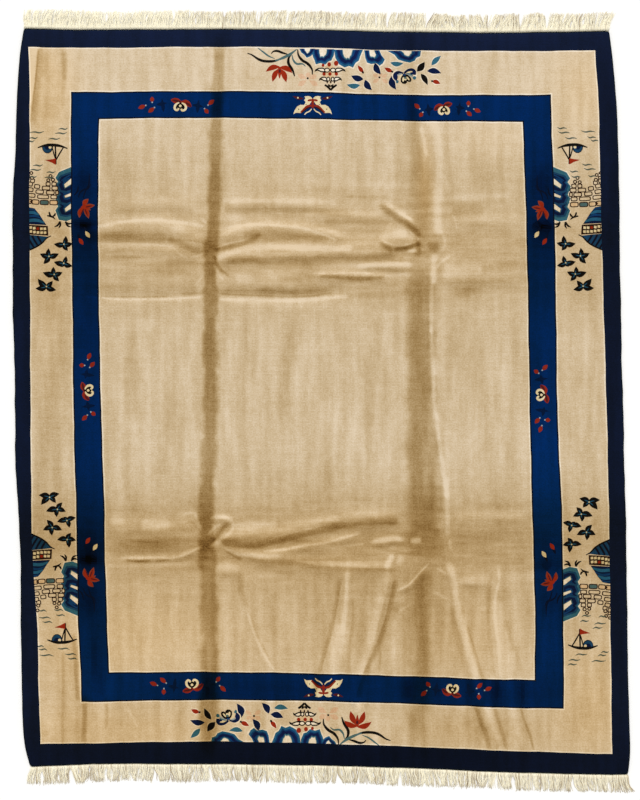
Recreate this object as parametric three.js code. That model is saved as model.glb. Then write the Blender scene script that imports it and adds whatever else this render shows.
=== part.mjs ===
// Peking rug: a hand-knotted wool rug with a fringe of cotton warp ends, lying flat and face up.
// Millimetres, +Z up, +Y along the weave towards the far end, origin under the middle of the whole rug.
import * as THREE from "three";

// Driving dimensions of the pile
const wovenLength = 3000; // from the near end of the pile to the far end
const wovenWidth = 2460; // from selvedge to selvedge on the loom
const thickness = 11; // cotton foundation and cut pile together
const rimHeight = 6; // the pile falls away to this at the edges
const rimWidth = 10; // over this distance from the edge

// Driving dimensions of the fringes
const partingGap = 0.3; // between the pile and the end web
const webThickness = 4; // flat-woven cotton web that the warp ends come out of
const lockCount = 150; // locks of warp ends along one end
const lockWidth = 10.5; // a lock at its root
const lockHeight = 6; // a lock at its fullest
const tipHeight = 2.5; // a lock at its tip
const swellShare = 0.3; // of its length, over which a lock swells from the web to its fullest
const webSections = 24; // straight stretches of the web's inner edge
const lengthShares = { shortest: 0.78, own: 0.14, wander: 0.08 }; // of the lock length given for a fringe
const leanShares = { steady: 0.6, wander: 0.4 }; // of the lean given for a fringe
const leanScatter = 2; // spread of each lock's own lean

// Colours of the two yarns
const woolColour = 0xcdb58b;
const cottonColour = 0xe9dfc3;

// Uneven side edges: x of each selvedge at a distance along the weave from the near end
const sideEdges = [
  { along: 0, left: -1176, right: 1250 },
  { along: 90, left: -1198, right: 1258 },
  { along: 215, left: -1207, right: 1255 },
  { along: 520, left: -1213, right: 1248 },
  { along: 850, left: -1216, right: 1244 },
  { along: 1090, left: -1226, right: 1239 },
  { along: 1220, left: -1237, right: 1236 },
  { along: 1420, left: -1236, right: 1231 },
  { along: 1900, left: -1246, right: 1220 },
  { along: 2310, left: -1246, right: 1214 },
  { along: 2510, left: -1236, right: 1211 },
  { along: 2700, left: -1230, right: 1203 },
  { along: 2880, left: -1219, right: 1188 },
  { along: 3000, left: -1202, right: 1173 },
];

// Uneven end edges: y of each end of the pile at a distance across the weave from the left selvedge
const endEdges = [
  { across: 0, near: -1488, far: 1507 },
  { across: 270, near: -1477, far: 1502 },
  { across: 730, near: -1477, far: 1504 },
  { across: 1150, near: -1482, far: 1502 },
  { across: 1560, near: -1493, far: 1494 },
  { across: 1990, near: -1511, far: 1490 },
  { across: 2300, near: -1518, far: 1494 },
  { across: 2460, near: -1520, far: 1498 },
];

// Folds left by storage, each a soft ridge (height above 0) or trough (below 0) along a line that may bow
// sideways; spread is the half-width at which the fold has mostly died away
const folds = [
  // left lengthwise fold
  { x1: -408, y1: 1500, x2: -440, y2: 620, bow: 6, spread: 22, height: -3 },
  { x1: -440, y1: 620, x2: -458, y2: -590, bow: 22, spread: 26, height: -3 },
  { x1: -458, y1: -590, x2: -466, y2: -1480, bow: 0, spread: 24, height: -3 },
  // right lengthwise fold and the rim that stands up beside it
  { x1: 395, y1: 1490, x2: 402, y2: 620, bow: 0, spread: 34, height: -4 },
  { x1: 402, y1: 620, x2: 424, y2: -590, bow: 0, spread: 44, height: -5 },
  { x1: 424, y1: -590, x2: 398, y2: -1490, bow: 8, spread: 34, height: -4 },
  { x1: 490, y1: 1340, x2: 455, y2: 400, bow: 8, spread: 17, height: 5 },
  { x1: 455, y1: 400, x2: 512, y2: -560, bow: 0, spread: 15, height: 5 },
  // far crosswise fold, left of the left fold
  { x1: -900, y1: 697, x2: -575, y2: 700, bow: 8, spread: 24, height: 9 },
  { x1: -575, y1: 700, x2: -452, y2: 618, bow: 0, spread: 22, height: 8 },
  { x1: -900, y1: 416, x2: -455, y2: 424, bow: 0, spread: 14, height: -4 },
  // far crosswise fold, between the lengthwise folds
  { x1: -430, y1: 622, x2: 85, y2: 655, bow: 70, spread: 26, height: 10 },
  { x1: -425, y1: 590, x2: 120, y2: 598, bow: 22, spread: 22, height: 9 },
  { x1: -425, y1: 424, x2: 110, y2: 432, bow: -14, spread: 15, height: -5 },
  { x1: -20, y1: 500, x2: 280, y2: 498, bow: 6, spread: 16, height: 8 },
  { x1: 180, y1: 545, x2: 395, y2: 560, bow: -10, spread: 16, height: 9 },
  { x1: 235, y1: 655, x2: 405, y2: 635, bow: 20, spread: 24, height: 11 },
  { x1: 255, y1: 785, x2: 405, y2: 640, bow: -8, spread: 14, height: -5 },
  // near crosswise fold, left of the left fold
  { x1: -870, y1: -505, x2: -490, y2: -500, bow: 0, spread: 26, height: 7 },
  { x1: -880, y1: -632, x2: -470, y2: -585, bow: -16, spread: 15, height: -4 },
  // near crosswise fold, between the lengthwise folds
  { x1: -430, y1: -560, x2: 330, y2: -482, bow: 12, spread: 22, height: 10 },
  { x1: -420, y1: -612, x2: 120, y2: -560, bow: -28, spread: 16, height: -5 },
  { x1: 90, y1: -585, x2: 340, y2: -552, bow: 0, spread: 16, height: 9 },
  { x1: -60, y1: -612, x2: 300, y2: -620, bow: 0, spread: 18, height: 7 },
  // pleats that run from the near crosswise fold down to the near border
  { x1: 108, y1: -690, x2: 30, y2: -1180, bow: 0, spread: 17, height: 6 },
  { x1: 285, y1: -690, x2: 190, y2: -1200, bow: 0, spread: 17, height: 6 },
  { x1: 520, y1: -660, x2: 680, y2: -1170, bow: 12, spread: 18, height: 7 },
  { x1: 715, y1: -690, x2: 705, y2: -1190, bow: 0, spread: 15, height: 5 },
];

// Grid of the upper face: zones along and across the weave, each up to a distance in steps of about one size
const alongZones = [
  { to: rimWidth, step: rimWidth },
  { to: 810, step: 100 },
  { to: 1040, step: 17 },
  { to: 1900, step: 110 },
  { to: 2300, step: 17 },
  { to: wovenLength - rimWidth, step: 100 },
  { to: wovenLength, step: rimWidth },
];
const acrossZones = [
  { to: rimWidth, step: rimWidth },
  { to: 730, step: 65 },
  { to: 850, step: 20 },
  { to: 1560, step: 45 },
  { to: 1800, step: 20 },
  { to: wovenWidth - rimWidth, step: 65 },
  { to: wovenWidth, step: rimWidth },
];

// Fringes: width of the end web, length of its locks, and how far the locks lean to +X over their length
const fringes = [
  { name: "fringe_far_end", edge: "far", outward: 1, web: 18, lockLength: 60, lean: 16 },
  { name: "fringe_near_end", edge: "near", outward: -1, web: 10, lockLength: 64, lean: 5 },
];

// Plan of a lock: shares of its length and of its lean at each station, and of its width at the root
const lockStations = [
  { out: 0, aside: 0, width: 1 },
  { out: 0.5, aside: 0.35, width: 0.95 },
  { out: 1, aside: 1, width: 0.5 },
];

// A column of a table as a smooth function of its key: a cubic through the rows, with slopes from their neighbours
function smoothColumn(table, key, column) {
  const slopeAt = (i) => {
    const before = table[Math.max(i - 1, 0)];
    const after = table[Math.min(i + 1, table.length - 1)];
    return (after[column] - before[column]) / (after[key] - before[key]);
  };
  return (value) => {
    const found = table.findIndex((row) => row[key] >= value);
    const i = THREE.MathUtils.clamp(found, 1, table.length - 1);
    const from = table[i - 1];
    const to = table[i];
    const span = to[key] - from[key];
    const t = (value - from[key]) / span;
    const rise = t * t * (3 - 2 * t);
    const leaving = t * (1 - t) * (1 - t) * span * slopeAt(i - 1);
    const arriving = t * t * (t - 1) * span * slopeAt(i);
    return THREE.MathUtils.lerp(from[column], to[column], rise) + leaving + arriving;
  };
}

const edgeX = {
  left: smoothColumn(sideEdges, "along", "left"),
  right: smoothColumn(sideEdges, "along", "right"),
};
const edgeY = {
  near: smoothColumn(endEdges, "across", "near"),
  far: smoothColumn(endEdges, "across", "far"),
};

// Place on the floor of a point of the loom: across from the left selvedge, along from the near end
function onFloor(across, along) {
  const x = THREE.MathUtils.lerp(edgeX.left(along), edgeX.right(along), across / wovenWidth);
  const y = THREE.MathUtils.lerp(edgeY.near(across), edgeY.far(across), along / wovenLength);
  return new THREE.Vector2(x, y);
}

// Height that the folds add at a place: across a fold a bell curve, along it full with rounded ends
function foldHeight(place) {
  return folds.reduce((sum, fold) => {
    const line = new THREE.Vector2(fold.x2 - fold.x1, fold.y2 - fold.y1);
    const length = line.length();
    const offset = new THREE.Vector2(place.x - fold.x1, place.y - fold.y1);
    const along = offset.dot(line) / length;
    const t = THREE.MathUtils.clamp(along / length, 0, 1);
    const sideways = line.cross(offset) / length - fold.bow * 4 * t * (1 - t);
    const past = along - t * length;
    return sum + fold.height * Math.exp(-(sideways ** 2 + past ** 2) / fold.spread ** 2);
  }, 0);
}

// Height of the upper face: the rim rises to the full thickness, and the folds start inside it
function pileHeight(across, along) {
  const inset = Math.min(across, wovenWidth - across, along, wovenLength - along);
  const rise = Math.min(inset / rimWidth, 1);
  const flat = THREE.MathUtils.lerp(rimHeight, thickness, rise);
  return flat + rise * foldHeight(onFloor(across, along));
}

// Grid lines of one direction, from its zones
function gridLines(zones) {
  const lines = [0];
  for (const { to, step } of zones) {
    const from = lines.at(-1);
    const count = Math.max(1, Math.round((to - from) / step));
    for (let i = 1; i <= count; i++) lines.push(from + ((to - from) * i) / count);
  }
  return lines;
}

// The pile as one closed slab: a gridded upper face, a flat underside and a wall round the outline
function pileGeometry() {
  const acrossLines = gridLines(acrossZones);
  const alongLines = gridLines(alongZones);
  const columns = acrossLines.length;
  const rows = alongLines.length;
  const positions = [];
  const triangles = [];

  for (const along of alongLines) {
    for (const across of acrossLines) {
      const place = onFloor(across, along);
      positions.push(place.x, place.y, pileHeight(across, along));
    }
  }
  const upper = (i, j) => j * columns + i;
  for (let j = 0; j < rows - 1; j++) {
    for (let i = 0; i < columns - 1; i++) {
      triangles.push(upper(i, j), upper(i + 1, j), upper(i + 1, j + 1));
      triangles.push(upper(i, j), upper(i + 1, j + 1), upper(i, j + 1));
    }
  }

  const outline = [
    ...acrossLines.slice(0, -1).map((_, i) => upper(i, 0)),
    ...alongLines.slice(0, -1).map((_, j) => upper(columns - 1, j)),
    ...acrossLines.slice(1).map((_, i) => upper(columns - 1 - i, rows - 1)),
    ...alongLines.slice(1).map((_, j) => upper(0, rows - 1 - j)),
  ];
  const firstLower = positions.length / 3;
  const contour = outline.map((v) => new THREE.Vector2(positions[3 * v], positions[3 * v + 1]));
  for (const { x, y } of contour) positions.push(x, y, 0);

  outline.forEach((top, k) => {
    const next = (k + 1) % outline.length;
    triangles.push(firstLower + k, firstLower + next, outline[next]);
    triangles.push(firstLower + k, outline[next], top);
  });
  for (const [a, b, c] of THREE.ShapeUtils.triangulateShape(contour, [])) {
    triangles.push(firstLower + c, firstLower + b, firstLower + a);
  }

  const geometry = new THREE.BufferGeometry();
  geometry.setAttribute("position", new THREE.Float32BufferAttribute(positions, 3));
  geometry.setIndex(triangles);
  geometry.computeVertexNormals();
  return geometry;
}

// Handwork's unevenness: a slow wander from -1 to 1 that neighbouring locks share, and a share of its own for each
const wander = (i) => 0.6 * Math.sin(0.21 * i) + 0.4 * Math.sin(0.083 * i + 1.3);
const ownShare = (i) => THREE.MathUtils.euclideanModulo(Math.sin(12.9898 * i) * 43758.5453, 1);

// Plan of one lock from its root outwards: a bent tapering tongue, as points down one side and back up the other
function lockOutline(fringe, i) {
  const pitch = wovenWidth / lockCount;
  const across = (i + 0.5) * pitch;
  const end = fringe.edge === "far" ? wovenLength : 0;
  const root = onFloor(across, end);
  const uneven = lengthShares.own * ownShare(i) + lengthShares.wander * wander(i);
  const length = fringe.lockLength * (lengthShares.shortest + uneven);
  const shared = fringe.lean * (leanShares.steady + leanShares.wander * wander(i));
  const lean = shared + leanScatter * (ownShare(i + 0.5) - 0.5);
  const side = (sign) =>
    lockStations.map(({ out, aside, width }) => {
      const x = root.x + lean * aside + (sign * width * lockWidth) / 2;
      return new THREE.Vector2(x, root.y + fringe.outward * (fringe.web + length * out));
    });
  return [...side(-1), ...side(1).reverse()];
}

// A fringe: the web along the end of the pile and the locks that grow out of it, one flat comb with full locks
function fringeGeometry(fringe) {
  const end = fringe.edge === "far" ? wovenLength : 0;
  const inner = [];
  for (let k = 0; k <= webSections; k++) {
    const place = onFloor((wovenWidth * k) / webSections, end);
    inner.push(new THREE.Vector2(place.x, place.y + fringe.outward * partingGap));
  }
  const corner = (point) =>
    new THREE.Vector2(point.x, point.y + fringe.outward * (fringe.web - partingGap));
  const outer = [corner(inner[0])];
  for (let i = 0; i < lockCount; i++) outer.push(...lockOutline(fringe, i));
  outer.push(corner(inner.at(-1)));

  const comb = new THREE.Shape([...inner.reverse(), ...outer]);
  const options = { depth: webThickness, steps: 1, bevelEnabled: false };
  const geometry = new THREE.ExtrudeGeometry(comb, options);
  const position = geometry.getAttribute("position");
  const edge = edgeY[fringe.edge];
  for (let v = 0; v < position.count; v++) {
    if (position.getZ(v) < webThickness / 2) continue;
    const across = THREE.MathUtils.clamp(position.getX(v) - edgeX.left(end), 0, wovenWidth);
    const out = fringe.outward * (position.getY(v) - edge(across)) - fringe.web;
    const share = THREE.MathUtils.clamp(out / fringe.lockLength, 0, 1);
    const full = THREE.MathUtils.smoothstep(share, 0, swellShare);
    const crown = THREE.MathUtils.lerp(lockHeight, tipHeight, share ** 2);
    position.setZ(v, THREE.MathUtils.lerp(webThickness, crown, full));
  }
  geometry.computeVertexNormals();
  return geometry;
}

const wool = new THREE.MeshStandardMaterial({ color: woolColour, roughness: 0.9, metalness: 0 });
const cotton = new THREE.MeshStandardMaterial({ color: cottonColour, roughness: 0.85, metalness: 0 });

const rug = new THREE.Group();
const pile = new THREE.Mesh(pileGeometry(), wool);
pile.name = "pile";
rug.add(pile);
for (const fringe of fringes) {
  const warpEnds = new THREE.Mesh(fringeGeometry(fringe), cotton);
  warpEnds.name = fringe.name;
  rug.add(warpEnds);
}

// The origin goes under the middle of the whole rug
const middle = new THREE.Box3().setFromObject(rug).getCenter(new THREE.Vector3());
for (const piece of rug.children) piece.position.set(-middle.x, -middle.y, 0);

export default rug;
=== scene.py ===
import bpy
import numpy as np
from mathutils.geometry import delaunay_2d_cdt
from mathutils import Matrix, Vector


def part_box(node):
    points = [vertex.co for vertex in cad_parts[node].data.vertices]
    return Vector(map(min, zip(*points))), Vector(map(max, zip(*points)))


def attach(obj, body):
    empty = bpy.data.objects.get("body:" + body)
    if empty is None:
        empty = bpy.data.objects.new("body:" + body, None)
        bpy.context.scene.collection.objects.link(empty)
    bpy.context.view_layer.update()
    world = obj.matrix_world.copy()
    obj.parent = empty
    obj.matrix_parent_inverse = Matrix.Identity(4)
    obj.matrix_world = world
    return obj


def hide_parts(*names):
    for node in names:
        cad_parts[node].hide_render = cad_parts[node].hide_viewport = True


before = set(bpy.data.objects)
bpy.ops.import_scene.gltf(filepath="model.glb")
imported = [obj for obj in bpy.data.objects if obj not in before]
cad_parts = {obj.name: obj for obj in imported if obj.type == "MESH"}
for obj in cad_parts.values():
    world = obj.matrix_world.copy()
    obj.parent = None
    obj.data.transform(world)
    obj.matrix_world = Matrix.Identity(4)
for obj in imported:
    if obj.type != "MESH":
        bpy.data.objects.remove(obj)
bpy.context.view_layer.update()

# Plan of the rug: millimetres on the floor, x to the right and y to the far end, from the middle of the
# photo. Places in the tables are pixels of the photo, which looks straight down; widths and heights are
# millimetres.
photo = {"wide": 640, "tall": 800, "mmPerPixel": 4.05}


def onPlan(pixels):
    # a pixel's place: its distance from the middle of the photo times the floor's millimetres a pixel, y
    # upwards
    pixels = np.asarray(pixels, float)
    return (pixels - [photo["wide"] / 2, photo["tall"] / 2]) * [photo["mmPerPixel"], -photo["mmPerPixel"]]


def linear(hexColour):
    # sRGB hex to linear light, channel by channel
    channels = np.array([int(hexColour[i : i + 2], 16) for i in (1, 3, 5)]) / 255
    low, high = channels / 12.92, ((channels + 0.055) / 1.055) ** 2.4
    return (*np.where(channels <= 0.04045, low, high).tolist(), 1.0)


def addNode(tree, kind, links=(), **settings):
    # a node with its settings, then its links: (input, value) sets a socket, (input, output socket) joins it
    node = tree.nodes.new(kind)
    for name, value in settings.items():
        setattr(node, name, value)
    for socket, source in links:
        if isinstance(source, bpy.types.NodeSocket):
            tree.links.new(source, node.inputs[socket])
        else:
            node.inputs[socket].default_value = source
    return node


def valuesOf(tree, name, output="Fac"):
    # values that a mesh carries on its points or corners
    return addNode(tree, "ShaderNodeAttribute", attribute_name=name).outputs[output]


def mathOf(tree, operation, *values):
    # one sum of numbers and output sockets
    return addNode(tree, "ShaderNodeMath", enumerate(values), operation=operation).outputs[0]


def noiseOf(tree, place, scale, detail):
    # cloudy noise from 0 to 1, with so many clouds to a unit of place
    links = [("Vector", place), ("Scale", scale), ("Detail", detail)]
    return addNode(tree, "ShaderNodeTexNoise", links).outputs["Fac"]


def newMaterial(name, sockets):
    # a material and its shader, with the shader's own sockets set by name
    material = bpy.data.materials.new(name)
    material.use_nodes = True
    shader = material.node_tree.nodes["Principled BSDF"]
    for socket, value in sockets.items():
        shader.inputs[socket].default_value = value
    return material, material.node_tree, shader


def smoothColumn(keys, values):
    # cubic between the rows of a table, with each row's slope taken from its neighbours
    keys, values = np.array(keys, float), np.array(values, float)
    after = np.minimum(np.arange(len(keys)) + 1, len(keys) - 1)
    before = np.maximum(np.arange(len(keys)) - 1, 0)
    slopes = (values[after] - values[before]) / (keys[after] - keys[before])

    def read(at):
        at = np.clip(at, keys[0], keys[-1])
        i = np.clip(np.searchsorted(keys, at), 1, len(keys) - 1)
        span = keys[i] - keys[i - 1]
        t = (at - keys[i - 1]) / span
        leaving = t * (1 - t) ** 2 * span * slopes[i - 1]
        arriving = t * t * (t - 1) * span * slopes[i]
        return values[i - 1] + (values[i] - values[i - 1]) * t * t * (3 - 2 * t) + leaving + arriving

    return read


def tableColumns(names, table):
    # every column of a table as a smooth function of its first column
    data = np.array(table, float)
    return {name: smoothColumn(data[:, 0], data[:, k + 1]) for k, name in enumerate(names)}


def rows(names, table):
    # a table's rows as dictionaries, each value by its column's name
    return [dict(zip(names, row)) for row in table]


def smoothPath(points, steps):
    # rounded path through the points: the same cubic for x and for y over the distance walked
    points = np.asarray(points, float)
    walked = np.r_[0, np.cumsum(np.hypot(*np.diff(points, axis=0).T))]
    at = np.linspace(0, walked[-1], steps)
    return np.column_stack([smoothColumn(walked, points[:, k])(at) for k in (0, 1)])


def leftOf(ahead, reach=1.0):
    # vectors to the left hand of each direction, of the given reach
    return reach * np.column_stack([-ahead[:, 1], ahead[:, 0]]) / np.hypot(*ahead.T)[:, None]


handwork = ((0.5, 1, 1), (0.3, 2.3, 2.1), (0.2, 4.7, 3.7))  # share, turns and seed of each sine


def wander(at, wave, seed):
    # slow unevenness of handwork, about -1 to 1: three sines of unlike lengths
    turns = np.asarray(at, float) / wave * 2 * np.pi
    return sum(share * np.sin(often * turns + shift * seed) for share, often, shift in handwork)


# Outline of the pile, as in the solids: x of the side edges along the weave, y of the end edges across it
rugSize = {"across": 2460, "along": 3000, "thick": 11}
sideEdges = tableColumns(("left", "right"), [
    (0, -1176, 1250), (90, -1198, 1258), (215, -1207, 1255), (520, -1213, 1248), (850, -1216, 1244),
    (1090, -1226, 1239), (1220, -1237, 1236), (1420, -1236, 1231), (1900, -1246, 1220), (2310, -1246, 1214),
    (2510, -1236, 1211), (2700, -1230, 1203), (2880, -1219, 1188), (3000, -1202, 1173),
])
endEdges = tableColumns(("near", "far"), [
    (0, -1488, 1507), (270, -1477, 1502), (730, -1477, 1504), (1150, -1482, 1502), (1560, -1493, 1494),
    (1990, -1511, 1490), (2300, -1518, 1494), (2460, -1520, 1498),
])

# Lines between the colours of the borders: x of the lengthwise ones by y, y of the crosswise ones by x
lengthLines = tableColumns(("guardLeft", "blueLeft", "fieldLeft", "fieldRight", "blueRight", "guardRight"), [
    (-1440, -1131, -961, -845, 868, 990, 1183),
    (-1175, -1139, -967, -852, 869, 988, 1180),
    (-891, -1146, -980, -862, 871, 986, 1176),
    (-648, -1164, -984, -870, 865, 984, 1173),
    (-405, -1169, -989, -874, 858, 978, 1169),
    (-81, -1172, -998, -885, 850, 963, 1162),
    (405, -1174, -1003, -895, 842, 956, 1148),
    (810, -1177, -1009, -898, 832, 949, 1137),
    (1195, -1175, -1009, -894, 818, 936, 1128),
    (1440, -1181, -1009, -893, 811, 931, 1113),
])
crossLines = tableColumns(("guardNear", "blueNear", "fieldNear", "fieldFar", "blueFar", "guardFar"), [
    (-1190, -1394, -1226, -1105, 1138, 1248, 1430),
    (-932, -1390, -1223, -1104, 1138, 1248, 1426),
    (-486, -1383, -1216, -1101, 1142, 1251, 1430),
    (-81, -1389, -1219, -1106, 1138, 1249, 1428),
    (324, -1402, -1230, -1117, 1130, 1237, 1416),
    (770, -1421, -1247, -1132, 1127, 1236, 1413),
    (1190, -1434, -1253, -1136, 1127, 1239, 1416),
])
weave = {
    "lineWander": 1.6, "lineWave": 330, "edgeWander": 2.2, "edgeWave": 420, "outlineStep": 12, "ringStep": 30,
}
edgeSeeds = {"near": 1, "far": 1, "left": 2, "right": 5}


def spaced(length, step):
    # even stops from 0 to a length, about a step apart
    return np.linspace(0, length, int(round(length / step)) + 1)


def endEdge(end, step):
    # points of one end of the pile from left to right, with the wander of a beaten-down weft
    across = spaced(rugSize["across"], step)
    along = 0 if end == "near" else rugSize["along"]
    left, right = sideEdges["left"](along), sideEdges["right"](along)
    x = left + (right - left) * across / rugSize["across"]
    uneven = weave["edgeWander"] * 0.5 * wander(x, weave["edgeWave"], edgeSeeds[end])
    return np.column_stack([x, endEdges[end](across) + uneven])


def sideEdge(side, step):
    # points of one selvedge from the near end to the far end, pulled in and out by hand
    along = spaced(rugSize["along"], step)
    across = 0 if side == "left" else rugSize["across"]
    near, far = endEdges["near"](across), endEdges["far"](across)
    y = near + (far - near) * along / rugSize["along"]
    pull = weave["edgeWander"] * wander(along, weave["edgeWave"], edgeSeeds[side])
    return np.column_stack([sideEdges[side](along) + pull * np.sin(np.pi * along / rugSize["along"]), y])


edgePoints = {name: endEdge(name, weave["outlineStep"]) for name in ("near", "far")}
edgePoints |= {name: sideEdge(name, weave["outlineStep"]) for name in ("left", "right")}
for side, corner in (("left", 0), ("right", -1)):  # the four corners are shared
    edgePoints[side][0] = edgePoints["near"][corner]
    edgePoints[side][-1] = edgePoints["far"][corner]
outline = np.vstack(
    [edgePoints["near"][:-1], edgePoints["right"][:-1], edgePoints["far"][:0:-1], edgePoints["left"][:0:-1]]
)
for _ in range(2):  # round corners, by averaging neighbours
    outline = (np.roll(outline, 1, 0) + 2 * outline + np.roll(outline, -1, 0)) / 4


def insetOf(points):
    # distance in from the nearest edge, read straight across or straight along
    x, y = np.asarray(points, float).T

    def edge(name, at, along):
        return np.interp(at, edgePoints[name][:, along], edgePoints[name][:, 1 - along])

    fromSides = np.minimum(x - edge("left", y, 1), edge("right", y, 1) - x)
    fromEnds = np.minimum(y - edge("near", x, 0), edge("far", x, 0) - y)
    return np.minimum(fromSides, fromEnds)


def bandSide(name, at):
    # x or y of a colour line, with its own wander
    lines = lengthLines if name in lengthLines else crossLines
    seed = sum(name.encode()) % 17
    return lines[name](at) + weave["lineWander"] * wander(at, weave["lineWave"], seed)


def insideBand(band, points, margin):
    # whether points lie inside the rectangle that a band's four lines make, drawn in by a margin
    x, y = points.T
    inside = (x > bandSide(band + "Left", y) + margin) & (x < bandSide(band + "Right", y) - margin)
    return inside & (y > bandSide(band + "Near", x) + margin) & (y < bandSide(band + "Far", x) - margin)


def bandRing(band, margin=0.0):
    # closed outline of that rectangle: each corner is where two lines meet, found by going round them a few
    # times
    corner = {}
    for end, sign in (("Near", 1), ("Far", -1)):
        for side, way in (("Left", 1), ("Right", -1)):
            x = 0.0
            for _ in range(6):
                y = bandSide(band + end, x) + sign * margin
                x = bandSide(band + side, y) + way * margin
            corner[end + side] = np.array([x, y])
    stretches = []
    for line, along, way, start, stop in (
        ("Near", 0, 1, "NearLeft", "NearRight"),
        ("Right", 1, -1, "NearRight", "FarRight"),
        ("Far", 0, -1, "FarRight", "FarLeft"),
        ("Left", 1, 1, "FarLeft", "NearLeft"),
    ):
        count = max(2, int(np.abs(corner[stop] - corner[start]).max() / weave["ringStep"]))
        points = np.linspace(corner[start], corner[stop], count + 1)[:-1]
        points[1:, 1 - along] = bandSide(band + line, points[1:, along]) + way * margin
        stretches.append(points)
    return np.vstack(stretches)


print("plan: outline and border lines")

# Folds from storage in thirds both ways. A path runs left to right or far to near. Left and right are its
# reach to either hand of the path, depth is its crest above the pile or its crease below, and grow, where a
# row has it, is how much wider it gets along its path. The tables of tone further on have the same columns,
# with brightness for depth.
lineNames = ("path", "left", "right", "depth", "grow")
leftFold = ((220, 28), (218, 90), (216, 135), (215, 190), (213.5, 230), (211.5, 247), (210, 265), (211, 300),
            (210.5, 335), (210.5, 400), (209, 460), (206, 510), (207, 546), (209, 590), (209.5, 650),
            (209, 705), (209, 740), (206, 768))
rightFold = ((410, 30), (411, 80), (411, 125), (417, 165), (421, 205), (421, 243), (418, 275), (418, 325),
             (418, 400), (420, 460), (423, 500), (425, 540), (424, 580), (422, 620), (420, 670), (416, 768))
folds = [
    # far crosswise fold, left third
    (((96, 231), (130, 229), (165, 228), (178, 231), (190, 239), (206, 248)), 34, 44, 8),
    (((98, 249), (150, 250), (176, 253), (200, 259)), 20, 26, 3),
    (((98, 297.5), (150, 297), (206, 295)), 24, 14, -3),
    (((112, 207), (160, 205), (200, 207)), 30, 22, 2.5),
    # far crosswise fold, middle third
    (((222, 207), (270, 205), (310, 206.5), (332, 209)), 30, 22, 4),
    (((300, 216.5), (340, 215.5), (386, 218)), 14, 36, 3.5),
    (((216, 241), (240, 231), (262, 228), (300, 229), (330, 235), (347, 242)), 20, 46, 8),
    (((216, 260), (240, 257.5), (270, 256), (305, 254), (345, 252.5), (400, 252)), 44, 26, 8),
    (((248, 287), (275, 286), (306, 288)), 52, 26, 3.5),
    (((217, 295), (240, 296.5), (280, 297.5), (305, 297), (328, 294), (350, 290)), 34, 22, -5),
    (((312, 276), (335, 275.5), (362, 275.5), (392, 278.5)), 14, 26, 4.5),
    (((354, 267), (372, 266.5), (390, 267), (413, 268)), 24, 14, 4),
    # where the far fold meets the right lengthwise fold
    (((378, 204), (392, 210.5), (404, 218), (418, 232)), 15, 30, 6),
    (((376, 239), (385, 243), (397, 245), (408, 244), (417, 240)), 56, 18, 8),
    (((440, 222), (480, 222), (526, 220)), 26, 36, 3),
    (((436, 281), (480, 280), (524, 282)), 60, 26, 3),
    # near crosswise fold, left third
    (((104, 529), (140, 531), (170, 532), (202, 530)), 40, 96, 8),
    (((122, 559), (150, 559.3), (173, 558), (188, 554), (204, 546)), 12, 12, 3),
    (((106, 566), (150, 568), (190, 570)), 30, 30, 2),
    # near crosswise fold, middle third
    (((210, 520), (222, 519), (231, 522), (234, 528)), 16, 26, 5),
    (((217, 543), (236, 538.5), (262, 537.5), (290, 533), (315, 527), (338, 522), (366, 520),
      (404, 519.5)), 30, 42, 8),
    (((222, 546), (238, 552), (256, 555), (276, 553.5), (300, 548), (322, 544), (345, 538.5),
      (362, 534)), 14, 28, 5),
    (((370, 545), (385, 542.5), (395, 541), (405, 542.5)), 28, 16, 5),
    (((248, 559.5), (276, 560.5), (300, 563), (326, 566.5), (352, 568), (396, 569)), 24, 36, 5),
    (((213, 571), (228, 572), (247, 571)), 32, 24, 4),
    (((394, 592), (405, 588.5), (415, 581.5), (429, 566)), 14, 14, 3.5),
    (((455, 580), (470, 583), (485, 583), (494, 581)), 44, 18, 4),
    (((450, 520), (490, 519), (530, 520)), 24, 90, 5),
    # pleats that fan out over the near third
    (((347, 567), (346, 590), (344, 612), (338, 641), (332, 675), (328, 700)), 20, 20, 4),
    (((391, 572), (386, 590), (377, 626), (366, 672), (355, 722)), 18, 18, 4),
    (((448, 562), (453, 580), (456.6, 603), (463.5, 632), (473, 664), (480, 700), (486, 735)), 20, 20, 5),
    (((497, 567), (497, 597), (495, 620), (499, 650), (502, 690)), 24, 14, 3.5),
    (((244, 568), (246, 606), (258, 645), (273, 676)), 14, 14, 2.5),
    # lengthwise folds: the left one, then the right one with the rim beside it; a tuck by the left selvedge
    (leftFold, 22, 22, -2.5),
    (rightFold, 36, 36, -3),
    (((431, 120), (437, 150), (439, 190), (438, 226), (435, 256)), 22, 22, 4),
    (((433, 262), (432, 330), (435, 410), (443, 470), (447, 536)), 15, 15, 4),
    (((38, 44), (36, 78), (32, 110), (29, 135)), 10, 20, 4),
]
# length over which its ends die out; most that crossings add up to
foldForm = {"fade": 55, "rise": 13, "sink": 6}
# how far it counts, and how much and often it widens
lineForm = {"reach": 2.8, "swell": 0.24, "swellWave": 210, "stepsPerPoint": 6}


def reachAlong(path, steps, points):
    # for each point: signed distance to the path, positive to its left hand, and the distance walked along it
    track = smoothPath(onPlan(path), steps)
    best = np.full(len(points), np.inf)
    side = np.zeros(len(points))
    walk = np.zeros(len(points))
    start = 0.0
    for a, b in zip(track[:-1], track[1:]):
        step = b - a
        length = np.hypot(*step)
        offset = points - a
        t = np.clip(offset @ step / length**2, 0, 1)
        gap = np.hypot(*(offset - t[:, None] * step).T)
        closer = gap < best
        best = np.where(closer, gap, best)
        side = np.where(closer, np.sign(step[0] * offset[:, 1] - step[1] * offset[:, 0]), side)
        walk = np.where(closer, start + t * length, walk)
        start += length
    return best * side, walk, start


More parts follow.
